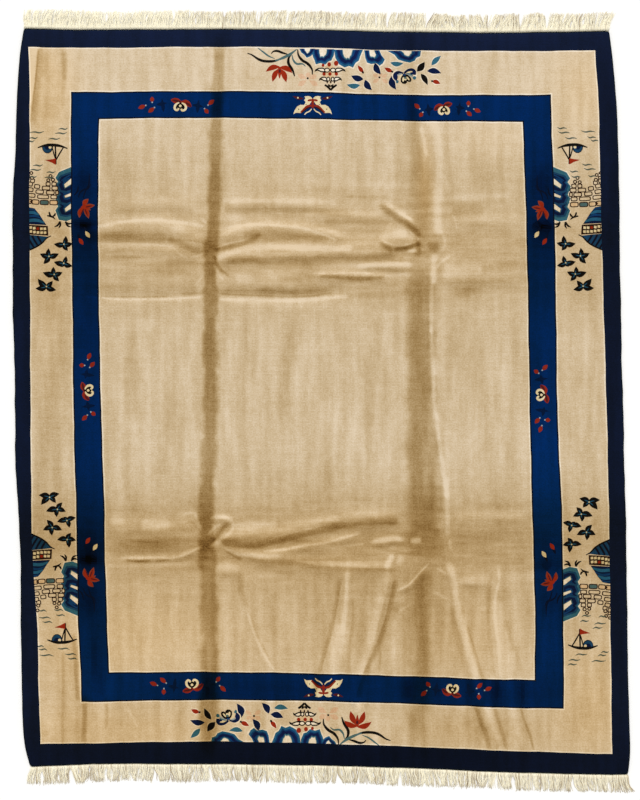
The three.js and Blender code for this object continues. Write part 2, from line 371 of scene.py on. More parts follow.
def lineShape(points, line, fade, power, taper=0.0):
    # strength of a line at each point, times its depth: a bell across it, flat-topped by its power, wider on
    # one hand and uneven, that fades and narrows at both ends
    strength = np.zeros(len(points))
    path = line["path"]
    corners = onPlan(path)
    reach = lineForm["reach"] * max(line["left"], line["right"])
    low, high = corners.min(0) - reach, corners.max(0) + reach
    near = np.flatnonzero(((points > low) & (points < high)).all(1))
    if len(near):
        away, walk, length = reachAlong(path, lineForm["stepsPerPoint"] * len(path), points[near])
        ends = np.clip(np.minimum(walk, length - walk) / min(fade, length / 2), 0, 1)
        ends = ends * ends * (3 - 2 * ends)
        uneven = wander(walk, lineForm["swellWave"], path[0][0])
        swell = (1 + lineForm["swell"] * uneven) * (1 - taper + taper * ends)
        swell = swell * (1 + line.get("grow", 0) * walk / length)
        across = np.abs(away) / (np.where(away > 0, line["left"], line["right"]) * swell)
        strength[near] = line["depth"] * np.exp(-(across**power)) * ends
    return strength


def foldHeight(points):
    # folds added up, then held so that crossings don't pile up
    total = sum(lineShape(points, fold, foldForm["fade"], 2) for fold in rows(lineNames, folds))
    rise, sink = foldForm["rise"], foldForm["sink"]
    return np.where(total > 0, rise * np.tanh(total / rise), sink * np.tanh(total / sink))


rim = {"depth": 14, "foot": 3.5}  # the pile rounds off to the foot of its edge over this depth


def pileHeight(points):
    # thickness with a round rim, a quarter of an ellipse, and the folds growing in from it
    inset = np.clip(insetOf(points) / rim["depth"], 0, 1)
    bulge = np.sqrt(1 - (1 - inset) ** 2)
    return rim["foot"] + (rugSize["thick"] - rim["foot"]) * bulge + inset * foldHeight(points)


# Brightness of the pile beside clean cream, with painted highlight and shade along the folds: brushed lay
# along the rug, darker over the rows of the two crosswise folds, then marks along lines, then broad patches
layAndShadeByPixelRow = smoothColumn(
    (30, 122, 162, 202, 242, 285, 306, 330, 400, 445, 482, 505, 525, 548, 570, 602, 645, 700, 770),
    (0.93, 0.88, 0.84, 0.79, 0.74, 0.74, 0.79, 0.82, 0.83, 0.85, 0.80, 0.71, 0.65, 0.64, 0.69, 0.74, 0.79,
     0.81, 0.81),
)
# painted highlight and shade along creases, with crisp edges: pale on sides turned to the light, dark in the
# hollows, where the nap is also flattened or parts
creases = [
    # far fold, left third
    (((88, 228.5), (123, 222), (155, 220), (172, 221.5), (193, 224), (206, 227)), 7, 9, 0.13),
    (((84, 237), (120, 237), (150, 237), (168, 239)), 26, 24, -0.12),
    (((166, 239.5), (177, 241.8), (186, 246.5), (196, 250.5), (210, 252.5)), 14, 15, -0.13),
    (((96, 243.8), (139, 243.8), (166, 245.5), (175, 249), (181, 255), (190, 259)), 4, 5, 0.07),
    (((186, 240), (198, 242), (209, 245)), 3, 3, -0.1),
    (((199, 217), (203, 220), (208, 226)), 6, 6, 0.1),
    (((193, 287), (199, 281), (204, 273)), 5, 4, 0.09),
    (((188, 258), (197, 256), (208, 251)), 5, 5, 0.08),
    (((84, 296), (112, 298.7), (124, 299.3), (145, 299), (165, 299), (205, 296.5)), 4, 5, 0.11),
    (((110, 296.3), (145, 297), (168, 296.3)), 3, 3, -0.09),
    (((180, 294), (206, 292.5)), 6, 6, -0.1),
    # far fold, middle third
    (((219, 201.5), (250, 200.5), (290, 201), (338, 202)), 11, 11, 0.07),
    (((222, 209.5), (260, 210), (300, 210), (332, 211)), 11, 13, -0.06),
    (((224, 228), (245, 225.3), (268, 225.3), (288, 227), (304, 229), (326, 236), (338, 241)), 7, 6, 0.13),
    (((243, 237), (253, 233), (271, 234.5), (300, 236.5), (330, 240)), 15, 17, -0.09),
    (((213, 251), (233, 246), (248, 242), (262, 233)), 8, 8, -0.16, 0.6),
    (((215, 247.5), (229, 243.7), (237, 242), (247, 241)), 4, 4, 0.12),
    (((216, 258.5), (233, 252), (249, 248), (268, 247.2), (292, 248), (335, 248.5),
      (354, 248)), 13, 14, 0.15),
    (((228, 258.9), (252, 257), (260, 259), (281, 258.3), (306, 257), (335, 258.5), (388, 256),
      (405, 257)), 6, 24, -0.08),
    (((216, 292), (260, 292.5), (300, 293.5), (330, 290.5)), 14, 9, -0.09),
    (((218, 294), (252, 295.3), (276, 296.3), (300, 296.8), (319, 295), (334, 292)), 3.5, 3.5, -0.14),
    (((217, 299.2), (252, 299.3), (276, 300.2), (300, 300), (333, 297.4), (350, 295.5)), 8, 9, 0.12),
    (((213.5, 254), (219, 267.4), (230, 277)), 6, 6, -0.16),
    (((214, 263), (218, 273), (225, 281)), 5, 7, 0.08),
    # where the far fold meets the right lengthwise fold
    (((344, 197), (365, 197), (391, 197.5)), 6, 6, -0.06),
    (((323, 221.5), (360, 221.5), (393, 222)), 11, 13, -0.07),
    (((379, 204), (391, 213), (399, 219.5), (410, 225.5), (422, 238)), 12, 14, -0.19),
    (((397, 212), (404, 215.5), (413, 220.5)), 5, 6, 0.15),
    (((406, 228.5), (413, 234), (421, 241)), 4, 4, 0.1),
    (((378, 238.5), (392, 235), (402, 234), (416, 239)), 24, 22, 0.08),
    (((391, 233.5), (400, 233), (409, 234.5)), 18, 16, 0.1),
    (((381, 240), (391, 244.7), (401, 246), (413, 243)), 4.5, 4.5, 0.12),
    (((379, 241), (386.5, 247.5), (394, 253.5)), 10, 10, -0.17),
    (((391, 250.5), (407, 247.9), (422, 242)), 10, 11, -0.17),
    (((406, 251.7), (412, 250.7), (419, 250.5)), 9, 8, 0.22),
    (((419, 247), (422, 249), (425, 252)), 6, 6, 0.12),
    (((356, 266.5), (379, 264.5), (394.5, 264), (414, 265)), 11, 11, 0.16),
    (((318, 275.8), (345, 277.7), (363, 278.7), (386, 277.3)), 8, 9, -0.18),
    (((331, 273.3), (352, 273), (374, 273.5)), 4, 3, 0.08),
    (((310, 273.5), (318, 273.3), (326, 274)), 5, 5, 0.08),
    (((383, 276), (398, 274.5), (415, 275)), 7, 7, 0.08),
    # right lengthwise fold: painted shade over the flattened nap, and painted highlights on the rim beside it
    (((426, 246), (433, 246), (441, 246)), 26, 26, -0.13),
    (((418, 238), (419, 248), (417, 258)), 14, 14, -0.13),
    (((421, 124), (423.5, 140), (427, 158)), 8, 8, 0.12),
    (((433, 116), (438, 143), (440, 172), (438, 197), (438, 218), (439, 236)), 18, 18, 0.12),
    (((437, 188), (437, 210), (438, 236)), 30, 32, 0.06),
    (((442, 232), (445, 243), (440, 254)), 8, 8, 0.09),
    (((434.5, 252), (434, 266), (433, 286)), 13, 13, 0.17),
    (((432, 280), (431, 305), (431, 335)), 8, 8, 0.12),
    (((431, 325), (433, 375), (435, 410), (443, 470), (447, 500)), 9, 9, 0.13),
    (((447, 474), (447.5, 505), (447.5, 537)), 10, 10, 0.13),
    (((450, 538), (450.5, 552)), 8, 8, 0.12),
    (((453, 255), (442.5, 261), (436, 268.5)), 5, 5, 0.13),
    (((451, 213), (455, 220), (457, 232)), 4, 4, 0.1),
    (((440, 270), (460, 270), (484, 269.5)), 30, 28, 0.13),
    (((436, 281), (470, 281.5), (508, 281)), 12, 12, -0.06),
    (((453, 293), (462, 293), (472, 293)), 24, 24, -0.08),
    (((452, 197), (480, 196.5), (510, 196)), 13, 13, 0.06),
    (((450, 210), (466, 210), (486, 211)), 20, 20, -0.09),
    (((448, 242), (490, 242), (530, 242)), 20, 20, -0.05),
    # near fold, left third
    (((109, 521.5), (118, 521.5), (126, 521)), 14, 14, 0.09),
    (((139, 524), (156, 524.5), (173, 523)), 20, 22, 0.11),
    (((130, 541), (150, 541.8), (170, 541.5)), 3, 3, -0.06),
    (((120, 558), (139, 557.7), (155, 557.3), (175, 557.7), (190, 552.3), (205, 544.5)), 6, 6, 0.12),
    (((124, 559.3), (137, 561), (152, 560.5)), 5, 5, -0.15),
    (((154, 561.2), (163, 560.5), (171, 559)), 5, 5, -0.15),
    (((181, 515), (194, 513), (198.6, 523), (203, 533)), 6, 6, 0.11),
    (((184, 524), (192, 522), (197, 530)), 5, 5, -0.06),
    (((105, 565.5), (125, 566), (142, 566)), 9, 9, 0.06),
    # near fold, middle third
    (((208, 518.5), (220, 517), (229, 518.7), (233, 524), (230, 533), (218, 540)), 8, 8, 0.13),
    (((229, 521), (222.5, 529), (213.7, 539), (206, 546)), 10, 10, -0.17),
    (((207, 536), (213.7, 528.7), (222, 522.5)), 6, 6, 0.14),
    (((208, 548), (214, 544), (222, 540)), 8, 8, 0.13),
    (((232, 526), (254, 525), (279, 522.5)), 17, 20, 0.1),
    (((220, 542.3), (242, 545.5), (260, 545.3), (270, 543), (287.5, 538), (306, 534), (325, 530),
      (344, 525.5), (364.5, 523), (382.5, 521.6), (400, 521.5)), 24, 12, -0.16),
    (((268, 541), (280, 535.5), (295, 532), (312.5, 528), (329, 524)), 4, 4, 0.09),
    (((223, 546.5), (233.7, 552.5), (250, 555), (265, 555.7), (284, 555)), 8, 8, 0.13),
    (((262, 551.3), (287.5, 548.7), (307.5, 545), (325, 543), (344, 537.7), (362, 532.8)), 6, 6, 0.13),
    (((224, 550), (237.5, 557.5), (244, 560.5)), 6, 6, -0.13),
    (((248, 558.5), (270, 561), (292.5, 561.3), (308.7, 565), (337.5, 568), (398, 569.3)), 5, 14, -0.09),
    (((214, 568), (228, 567.5), (242, 568)), 16, 17, 0.11),
    (((342, 545.7), (355, 545), (366, 543.5)), 5, 5, 0.13),
    (((370, 542.7), (385, 539.7), (395, 538), (405, 540.5)), 11, 10, 0.19),
    (((409, 541.5), (416, 540.5), (423, 540.5)), 11, 11, 0.25),
    (((398, 551), (409, 550.3), (421, 550)), 5, 5, 0.11),
    (((387, 548), (394, 547.5), (400, 548)), 10, 10, 0.07),
    (((394, 553), (389, 562), (384.5, 570)), 14, 14, 0.22),
    (((402.5, 553), (400, 560), (397.5, 567)), 14, 14, 0.16),
    (((324, 563.5), (350, 563.5), (385, 564)), 12, 12, 0.07),
    (((348, 558), (348, 564), (348, 570)), 11, 11, 0.06),
    (((430, 562.5), (418.4, 574), (409, 584.5), (395.5, 591.3)), 4, 4, 0.15),
    (((411, 604), (405, 607.5), (397, 611.5)), 5, 5, 0.07),
    (((436, 568), (442, 571), (448, 575)), 6, 6, 0.11),
    (((432, 592), (440, 595), (448, 599.5)), 7, 7, 0.11),
    (((456, 580), (475, 580.5), (494, 580)), 19, 18, 0.09),
    (((502, 576.5), (518, 577), (536, 576.5)), 18, 17, 0.07),
    (((478, 606), (483, 608), (489, 610)), 10, 10, 0.06),
    # pleats of the near third, lit on one side and dark on the other, on into the borders
    (((347.3, 569), (346.5, 590), (345, 612), (342, 636)), 10, 9, 0.13),
    (((344, 622), (338.5, 645), (333, 674), (329, 700)), 27, 27, 0.11),
    (((341, 578), (337, 604), (331.5, 631), (321, 669), (314, 700)), 5, 13, -0.13),
    (((353, 596), (353, 620), (349, 650), (347, 676)), 8, 6, -0.05),
    (((389, 569), (384, 594), (378, 620), (370, 648), (360, 678)), 6, 26, 0.09),
    (((395, 578), (390.5, 600), (384, 625), (375.5, 648), (364, 674), (356, 700)), 15, 6, -0.15),
    (((399, 600), (397, 607), (394, 614)), 16, 16, -0.09),
    (((394, 618), (394, 640), (391, 662)), 11, 11, 0.07),
    (((381, 650), (379, 674)), 5, 5, -0.08),
    (((447, 561), (453.5, 579), (456.6, 603), (463.5, 632), (472, 662.7), (477, 683),
      (481, 702)), 15, 14, 0.15),
    (((467, 624), (475, 652), (486, 690)), 6, 6, -0.1),
    (((450, 605), (457, 635), (465, 665), (470, 690)), 10, 12, -0.06),
    (((497.7, 563), (498.6, 580.5), (495, 597.7), (494.5, 616.5), (498.5, 649), (501, 690)), 8, 6, 0.12),
    (((498, 600), (499, 620), (504, 650), (507, 690)), 28, 14, 0.07),
    (((491, 574), (489, 610), (491, 640), (494, 676)), 5, 13, -0.08),
    (((505, 618), (513, 645), (523, 674)), 10, 10, -0.06),
    (((247, 612), (256, 638.7), (268.7, 662.5), (276, 672)), 5, 5, 0.08),
    (((250, 613), (259, 638.7), (271.5, 662.5)), 5, 3, -0.06),
    (((241, 572), (241.5, 590), (246, 608)), 15, 15, -0.08),
    # tuck by the left selvedge, and creases of the borders
    (((38.7, 47), (36, 78.7), (32, 110), (30.5, 124)), 4, 4, -0.16),
    (((35.5, 47), (33.5, 75), (30.5, 105)), 8, 12, 0.07),
    (((44, 50), (44.5, 62), (43, 80)), 14, 14, -0.08),
    (((64.5, 50), (65, 64), (64, 82)), 11, 11, -0.1),
    (((83.5, 694), (84.5, 715), (83, 746)), 13, 11, -0.18),
    (((105.5, 696), (106.5, 712), (106, 730)), 7, 7, -0.12),
    (((63, 650), (63, 690), (62.5, 748)), 7, 7, -0.1),
    (((73.5, 632), (75.5, 665), (78, 702)), 9, 9, -0.16),
    (((475, 702), (480, 720), (486, 735), (490, 752)), 12, 10, -0.17),
    (((485, 702), (491, 718), (498, 742)), 12, 12, 0.1),
    (((493, 702), (497, 716), (503, 736), (506, 750)), 9, 7, -0.13),
    (((512, 704), (516, 722), (523, 748)), 14, 12, 0.07),
    (((520, 704), (524, 720), (530, 735), (534, 752)), 6, 6, -0.16),
    (((40, 42), (36.5, 75), (32, 125)), 18, 4, -0.12),
    (((62, 44), (63, 80), (63, 110)), 9, 9, -0.07),
    (((127, 706), (132, 717), (138.5, 729)), 5, 5, 0.06),
    (((41, 736), (45, 733), (49, 736)), 12, 14, -0.07),
]
# painted shade along the lengthwise folds over the flattened nap, and other broad soft strokes
strokes = [
    (rightFold, 44, 44, -0.1),
    (((410, 40), (411, 125), (417, 165), (421, 205), (420, 262)), 44, 44, -0.06),
    (((207, 515), (208, 555), (209, 600)), 26, 26, 0.09),
    (((423, 495), (425, 530), (426, 570)), 36, 36, 0.07),
    (((210.5, 305), (209, 400), (207, 495)), 20, 20, -0.06),
    (((208, 590), (210, 630), (213, 690)), 26, 26, -0.02),
    (((423, 560), (423, 590), (422, 640), (421, 720)), 40, 42, -0.18),
    (((245, 300), (244, 360), (242, 425)), 17, 17, -0.09),
    (((290, 300), (287, 350), (284, 400), (282, 432)), 22, 22, -0.13),
    (((325, 408), (326, 450), (328, 480), (329, 508)), 23, 23, -0.11),
    (((377, 300), (375, 340), (371, 380), (367, 442)), 22, 22, -0.11),
    (((134, 310), (131, 390), (130, 470)), 22, 22, -0.06),
    (((176, 320), (174, 400), (176, 470)), 17, 17, -0.07),
    (((481, 320), (480, 410), (482, 490)), 16, 16, -0.05),
    (((443, 122), (448, 160), (450, 200)), 14, 14, -0.07),
    (((98, 546), (150, 547), (202, 543)), 36, 36, -0.06),
    (((236, 539), (260, 535), (290, 529)), 16, 16, -0.05),
    (((333, 209), (350, 208.5), (374, 210)), 22, 20, 0.05),
    (((146, 199), (165, 199), (198, 204)), 12, 12, 0.05),
    (((98, 210.5), (135, 210.5), (174, 210.5)), 16, 16, -0.06),
    (((330, 512), (360, 511), (399, 511)), 26, 26, 0.05),
]
# painted shade over the flattened nap of the two lengthwise folds: flat bands with crisp edges
pressedAndShaded = [
    (leftFold, 23, 24, -0.34, 0.6),
    (((419, 262), (419.5, 300), (421, 350), (421.5, 400), (422, 450), (423, 500),
      (424, 566)), 50, 50, -0.22, 0.55),
]
# each kind of line: how much it counts, the length over which its ends fade, how flat-topped it is, how much
# it tapers
toneLines = rows(
    ("lines", "gain", "fade", "power", "taper"),
    [(creases, 1.35, 18, 3.2, 0.55), (strokes, 1.0, 120, 2.2, 0.0), (pressedAndShaded, 1.0, 120, 6, 0.0)],
)
# soft patches of painted highlight and shade about the folds, with a few stains
patchNames = ("at", "across", "along", "tone")
patches = [
    ((150, 630), 85, 55, 0.05), ((410, 615), 75, 60, -0.08), ((505, 640), 26, 50, 0.05),
    ((460, 185), 55, 22, -0.06), ((491, 172), 13, 15, -0.06), ((500, 130), 40, 22, 0.05),
    ((120, 175), 26, 26, -0.05), ((462, 330), 20, 60, -0.05), ((177, 229.5), 8, 6, 0.15),
    ((176, 267), 22, 6, -0.12), ((149, 257.5), 15, 5, 0.15), ((119, 274), 8, 8, 0.06),
    ((130, 285), 8, 8, -0.05), ((103, 290), 8, 6, -0.06), ((232, 219), 11, 7, 0.17),
    ((309, 264), 6, 6, -0.08), ((242, 277), 10, 7, 0.16), ((270, 279), 14, 7, 0.07),
    ((211, 272), 5, 13, -0.07), ((211, 246), 6, 5, -0.14), ((206, 546), 6, 6, -0.16),
    ((134, 510), 6, 7, -0.05), ((150, 546), 45, 18, -0.06), ((320, 625), 60, 40, -0.02),
    ((176, 520), 6, 9, -0.05), ((280, 541), 55, 7, -0.05), ((476, 545), 45, 26, -0.03),
    ((52, 400), 16, 150, -0.12), ((49, 109), 8, 10, -0.13), ((55, 60), 5, 12, 0.05),
    ((585, 400), 20, 150, -0.02), ((480, 730), 60, 22, -0.1), ((420, 735), 30, 22, -0.06),
    ((414, 721), 8, 13, -0.2), ((447, 722), 4, 9, -0.07), ((464, 721), 6, 8, -0.07),
    ((120, 722), 80, 22, -0.01), ((281, 477), 7, 12, -0.07), ((327, 477), 10, 14, -0.06),
    ((262, 477), 10, 8, -0.05), ((210, 282), 7, 16, 0.06), ((505, 480), 9, 40, -0.06),
]
# painted light and shade: brighter for each unit of slope towards the far end, where the lamp is; heights are
# compared over a step
slopeLight = {"slopeGain": 0.45, "slopeStep": 2.0, "darkest": 0.25, "brightest": 1.15}


def softPatches(points, table):
    # soft ellipses added up
    total = np.zeros(len(points))
    for patch in rows(patchNames, table):
        reach = np.array([patch["across"], patch["along"]]) * photo["mmPerPixel"]
        total += patch["tone"] * np.exp(-(((points - onPlan(patch["at"])) / reach) ** 2).sum(1))
    return total


combing = {
    "folds": ((247, 36), (541, 30)), "columns": (95, 530), "streaks": 80, "long": (40, 170), "half": (7, 15),
    "tone": 0.055, "seed": 5,
}


def napStreaks(points):
    # short streaks combed crosswise about the two crosswise folds, at seeded places: a bell along times one
    # across
    draw = np.random.default_rng(combing["seed"])
    total = np.zeros(len(points))
    for row, spread in combing["folds"] * combing["streaks"]:
        at = onPlan((draw.uniform(*combing["columns"]), draw.normal(row, spread)))
        reach = np.array([draw.uniform(*combing["long"]), draw.uniform(*combing["half"])])
        total += draw.normal(0, combing["tone"]) * np.exp(-(((points - at) / reach) ** 2).sum(1))
    return total


def pileTone(points):
    # lay darkened over the fold rows + patches + streaks + lines, then painted light and shade from the
    # slope, from heights farther and nearer
    pixelRows = photo["tall"] / 2 - points[:, 1] / photo["mmPerPixel"]
    tone = layAndShadeByPixelRow(pixelRows) + softPatches(points, patches) + napStreaks(points)
    for kind in toneLines:
        for line in rows(lineNames, kind["lines"]):
            tone += kind["gain"] * lineShape(points, line, kind["fade"], kind["power"], kind["taper"])
    step = np.array([0, slopeLight["slopeStep"]])
    slope = (foldHeight(points - step) - foldHeight(points + step)) / (2 * step[1])
    return np.clip(tone + slopeLight["slopeGain"] * slope, slopeLight["darkest"], slopeLight["brightest"])


creaseNet = {"step": 10, "shares": (1.2, 0.6, 0.0, -0.6, -1.2)}


def creasePoints():
    # points along the middle and both edges of each narrow crease, so that the net of triangles can follow it
    found = []
    for line in rows(lineNames, creases + pressedAndShaded):
        track = onPlan(line["path"])
        length = np.hypot(*np.diff(track, axis=0).T).sum()
        track = smoothPath(track, max(4, int(length / creaseNet["step"])))
        across = leftOf(np.gradient(track, axis=0))
        for share in creaseNet["shares"]:
            found.append(track + share * (line["left"] if share > 0 else line["right"]) * across)
    return np.vstack(found)


# Yellowing of the wool, and where the folds have combed its nap crosswise instead of along the warp
yellowing = [
    ((130, 640), 110, 60, 1.0), ((120, 735), 150, 26, 1.0), ((595, 700), 45, 70, 1.0),
    ((340, 640), 120, 60, 0.5), ((480, 640), 60, 60, 0.6), ((425, 180), 9, 45, 0.9), ((60, 690), 30, 60, 0.4),
    ((45, 90), 32, 60, 1.2), ((50, 300), 25, 120, 0.35), ((585, 90), 34, 50, 0.7), ((490, 135), 45, 30, 0.35),
    ((300, 545), 260, 42, 0.66), ((300, 245), 260, 50, 0.5), ((470, 735), 90, 24, 0.6),
]
combed = [((310, 250), 330, 46, 1.0), ((310, 540), 330, 38, 1.0)]


# Dyes of the wool, in the light of a clean upright pile
dyes = {
    "cream": "#dcc9ad", "pale": "#f2e6d4", "navy": "#0f1830", "selvedge": "#0c1715", "blue": "#00255a",
    "blueEdge": "#0a1226", "ink": "#14110f", "indigo": "#0d1a40", "royal": "#123d70", "teal": "#34677e",
    "steel": "#265f86", "red": "#982c15", "madder": "#8c2a1a", "maroon": "#4c1c20", "frost": "#9aa6ad",
    "dusk": "#041738", "marine": "#101d4c", "pink": "#dcb899", "blush": "#dfc19c", "brown": "#301c12",
    "shade": "#07112a", "ivory": "#e6d7b2", "slate": "#4f6c70", "roof": "#1b4369", "water": "#55605a",
    "rose": "#84432f",
}

# Uneven dye lots of the dark wool, and painted shade where the folds cross the borders: share of full
# strength added or lost, on the navy and on the blue
abrashAndFoldShade = {
    "navy": [
        ((320, 36), 330, 22, 0.45), ((320, 760), 330, 30, -0.45), ((18, 300), 14, 200, 0.05),
        ((408, 40), 8, 12, -0.35),
    ],
    "blue": [
        ((320, 105), 220, 24, 0.1), ((88, 240), 16, 60, -0.3), ((88, 330), 16, 50, -0.2),
        ((88, 560), 16, 60, -0.45), ((94, 640), 16, 40, -0.12), ((95, 662), 5, 24, -0.35),
        ((87, 665), 3, 30, 0.14), ((102, 680), 3, 18, -0.22), ((110, 688), 5, 14, 0.14),
        ((437, 690), 4, 16, -0.28), ((469, 692), 4, 16, -0.28), ((496, 691), 5, 18, -0.42),
        ((509, 692), 5, 16, 0.2), ((522, 693), 3, 18, -0.35), ((545, 220), 16, 60, -0.35),
        ((217.5, 105), 5, 18, -0.5), ((411, 107), 7, 18, -0.45), ((208, 688), 5, 18, -0.55),
        ((409, 690), 9, 18, -0.55), ((548, 480), 18, 70, 0.25), ((260, 690), 90, 16, -0.3),
        ((500, 692), 60, 16, -0.3), ((548, 565), 11, 5, -0.55), ((89, 560), 11, 5, -0.5),
        ((83, 225), 11, 5, -0.5), ((541, 226), 11, 5, -0.5), ((550, 602), 11, 12, -0.3),
        ((90, 602), 11, 14, -0.3), ((83, 182), 11, 14, -0.45), ((540, 182), 11, 14, -0.35),
        ((547, 547), 13, 18, -0.3), ((90, 549), 13, 17, -0.3), ((85, 233), 13, 20, -0.3),
        ((543, 234), 12, 14, -0.3),
    ],
}

drawn = {"bladeStops": 9, "ribbonSteps": 5}  # along a blade, and for each point of a ribbon
# by the ground they show on: (dye, closed outline in plan mm), painted in order
ornaments = {"cream": [], "blue": []}


def paint(dye, ring):
    # an outline on the cream
    ornaments["cream"].append((dye, ring))


def paintBlue(dye, ring):
    # an outline on the blue
    ornaments["blue"].append((dye, ring))


def paintedBy(ground, draw, *given):
    # what a drawing adds to a ground
    start = len(ornaments[ground])
    draw(*given)
    return ornaments[ground][start:]


def spotsAbout(at, along, across):
    # places about a middle: so many pixels along one direction and so many across it
    at, along, across = np.array(at), np.array(along), np.array(across)

    def spots(points):
        points = np.asarray(points, float)
        return at + points[..., :1] * along + points[..., 1:] * across

    return spots


def placed(shape, at, turn=0.0):
    # a shape in its own millimetres, turned by degrees and moved to a pixel
    angle = np.radians(turn)
    return shape @ np.array([[np.cos(angle), np.sin(angle)], [-np.sin(angle), np.cos(angle)]]) + onPlan(at)


def halfTurned(ring, about):
    # a ring turned half round a pixel
    return 2 * onPlan(about) - ring


def blade(root, tip, wide, bow=0.0, belly=0.45):
    # leaf or petal from root to tip: a sine hump either side of a bowed midline, fullest at the belly
    start, end = onPlan(root), onPlan(tip)
    t = np.linspace(0, 1, drawn["bladeStops"])
    along = end - start
    across = np.array([-along[1], along[0]]) / np.hypot(*along)
    half = wide / 2 * np.sin(np.pi * t ** (np.log(0.5) / np.log(belly)))
    middle = start + t[:, None] * along + (bow * 4 * t * (1 - t))[:, None] * across
    return np.vstack([middle + half[:, None] * across, (middle - half[:, None] * across)[-2:0:-1]])


def ribbon(points, wide, root=0.5, tip=0.5, swell=0.35):
    # stroke along a rounded path, its width growing from the root's share to full over its swell, and back to
    # the tip's
    track = smoothPath(onPlan(points), drawn["ribbonSteps"] * len(points))
    t = np.linspace(0, 1, len(track))
    share = np.minimum(1, np.minimum(root + (1 - root) * t / swell, tip + (1 - tip) * (1 - t) / swell))
    half = (wide / 2 * share)[:, None] * leftOf(np.gradient(track, axis=0))
    return np.vstack([track + half, (track - half)[::-1]])


def oval(at, wide, tall, turn=0.0, steps=14):
    # ellipse: cosine across and sine along
    angle = np.linspace(0, 2 * np.pi, steps, endpoint=False)
    return placed(np.column_stack([wide / 2 * np.cos(angle), tall / 2 * np.sin(angle)]), at, turn)


# Garden cluster of the near border: leaves and buds on faint stems, rocks, a pagoda and a lotus
cluster = {
    "blossoms": (((328, 714), 10.5), ((253, 715.5), 8)), "blossomDots": ((254, 716), (328.2, 715.1)),
    "peony": (227.3, 716.1), "peonyStalk": ((214, 722.8), (218, 722)), "pagoda": (304.4, 702.8),
    "lotusFoot": (357.2, 724), "lotusHeart": (357.2, 722.4), "leafHalo": 8,
}
clusterLeaves = rows(("dye", "root", "tip", "wide", "bow"), [
    ("red", (199.6, 712.4), (191, 709.4), 18, 2),
    ("ink", (211.2, 719.8), (204.2, 708.2), 22, 3),
    ("indigo", (204.8, 722.6), (190.1, 720.2), 24, 5),
    ("teal", (200.2, 728.4), (190.4, 738), 22, 2),
    ("ink", (215, 722.2), (207.2, 731.8), 27, -2),
    ("indigo", (241.2, 717.8), (236.6, 703.4), 28, -9),
    ("teal", (242.8, 731.2), (229, 730.8), 20, -6),
    ("red", (240.4, 721.8), (249, 726), 18, 1),
    ("indigo", (258.7, 730.8), (252.4, 719), 26, -6),
    ("indigo", (268.9, 713.6), (261.8, 703), 26, -6),
    ("teal", (274, 708.2), (288, 708.8), 22, 6),
    ("indigo", (270.6, 714.2), (283.4, 717.8), 26, 4),
    ("red", (270.4, 720.8), (276.4, 728.4), 17, 1),
])
budTips = [
    ((197.8, 711.9), (200.8, 712.4)), ((242.4, 722.6), (239.6, 721.2)), ((272, 722.8), (270.4, 719.8)),
]
lotusPetals = rows(("root", "tip", "wide", "bow"), [
    ((356.4, 725), (350.4, 711), 23, 4),
    ((358.2, 725), (364.6, 711.4), 22, -4),
    ((358.4, 726), (344, 720.4), 22, 9),
    ((356, 726.4), (371.6, 721.8), 22, -9),
    ((357.2, 727), (357.4, 714.4), 13, 0),
])
clusterStems = rows(("dye", "points", "wide"), [
    ("slate", ((330.4, 727.2), (333.6, 729.8), (339.4, 729.8), (343, 733.4), (344.4, 739)), 8.5),
    ("slate", ((362.3, 735.2), (368.6, 737.8), (374.6, 742.2), (380, 746.2)), 7),
    ("ink", ((323.4, 718.8), (323.8, 724.2), (328, 729.8), (334, 733.6), (337.8, 738.8),
             (338.6, 744.6)), 11.5),
    ("ink", ((341.7, 717), (343.6, 722.8), (348, 730.2), (347.8, 735.8), (344.6, 740.2)), 12),
    ("ink", ((348.4, 739.4), (354, 741), (359.4, 742.9), (363.6, 742.5), (366, 740.2)), 10),
    ("ink", ((352, 736.6), (362.4, 732.8), (373, 732.6), (379.2, 734.6), (386, 739), (390.6, 740.6)), 11),
    ("slate", ((339.6, 744.6), (346.2, 739.8), (354, 735.8), (362, 732.9)), 11.5),
])
rocks = rows(("foot", "hole", "corners"), [
    ((225, 743.2), 0.34, ((21, 0), (13.5, 4.2), (9.5, 9), (4, 10.8), (-2.6, 12), (-7.6, 10), (-9.2, 7.2),
                          (-13.2, 5.6), (-14, 0))),
    ((262, 743.7), 0.36, ((7.8, 0), (6.6, 8.2), (4.8, 12.7), (0.5, 14.1), (-4, 13.5), (-8, 15.9),
                          (-11.4, 13.5), (-13.6, 9.5), (-10.2, 5.1), (-8, 0))),
    ((287.4, 744.3), 0.38, ((13.6, 0), (12.2, 8.6), (8.4, 15), (2.6, 18.2), (-2, 16.6), (-6, 18.4),
                            (-8.6, 13.6), (-12, 11.2), (-13.8, 6), (-16.4, 0))),
    ((312.6, 744.8), 0.38, ((11, 0), (10.4, 7.4), (8.8, 10.8), (7.2, 15.6), (2.4, 14.2), (-2.6, 15.8),
                            (-6, 12.4), (-9, 11.6), (-11.6, 5.6), (-12, 0))),
    ((328.6, 745.3), 0.4, ((8.4, 0), (6.4, 3.8), (3.2, 6.2), (0.6, 9.4), (-3, 8), (-5.4, 6), (-7.6, 2.6),
                           (-8.4, 0))),
])


def rockRing(rock, share):
    # cornered mound on its foot, its corners in pixels drawn in towards the foot by a share
    return onPlan(np.array(rock["foot"]) + share * np.array(rock["corners"]) * [1, -1])


def paintRocks():
    # rings of blue one inside another, round a pale hole that is narrower and taller than the rock
    holeForm = np.array([0.86, 1.25])
    for share, dye in ((1.08, "pale"), (1.0, "steel")):
        for rock in rocks:
            paint(dye, rockRing(rock, share))
    for rock in rocks:
        hole = rock["hole"]
        for share, dye in ((0.86, "royal"), (0.77, "marine"), (0.56, "royal")):
            paint(dye, rockRing(rock, share))
        for grow, dye in ((0.09, "teal"), (0.03, "frost"), (0, "pale")):
            paint(dye, rockRing(rock, (hole + grow) * holeForm))


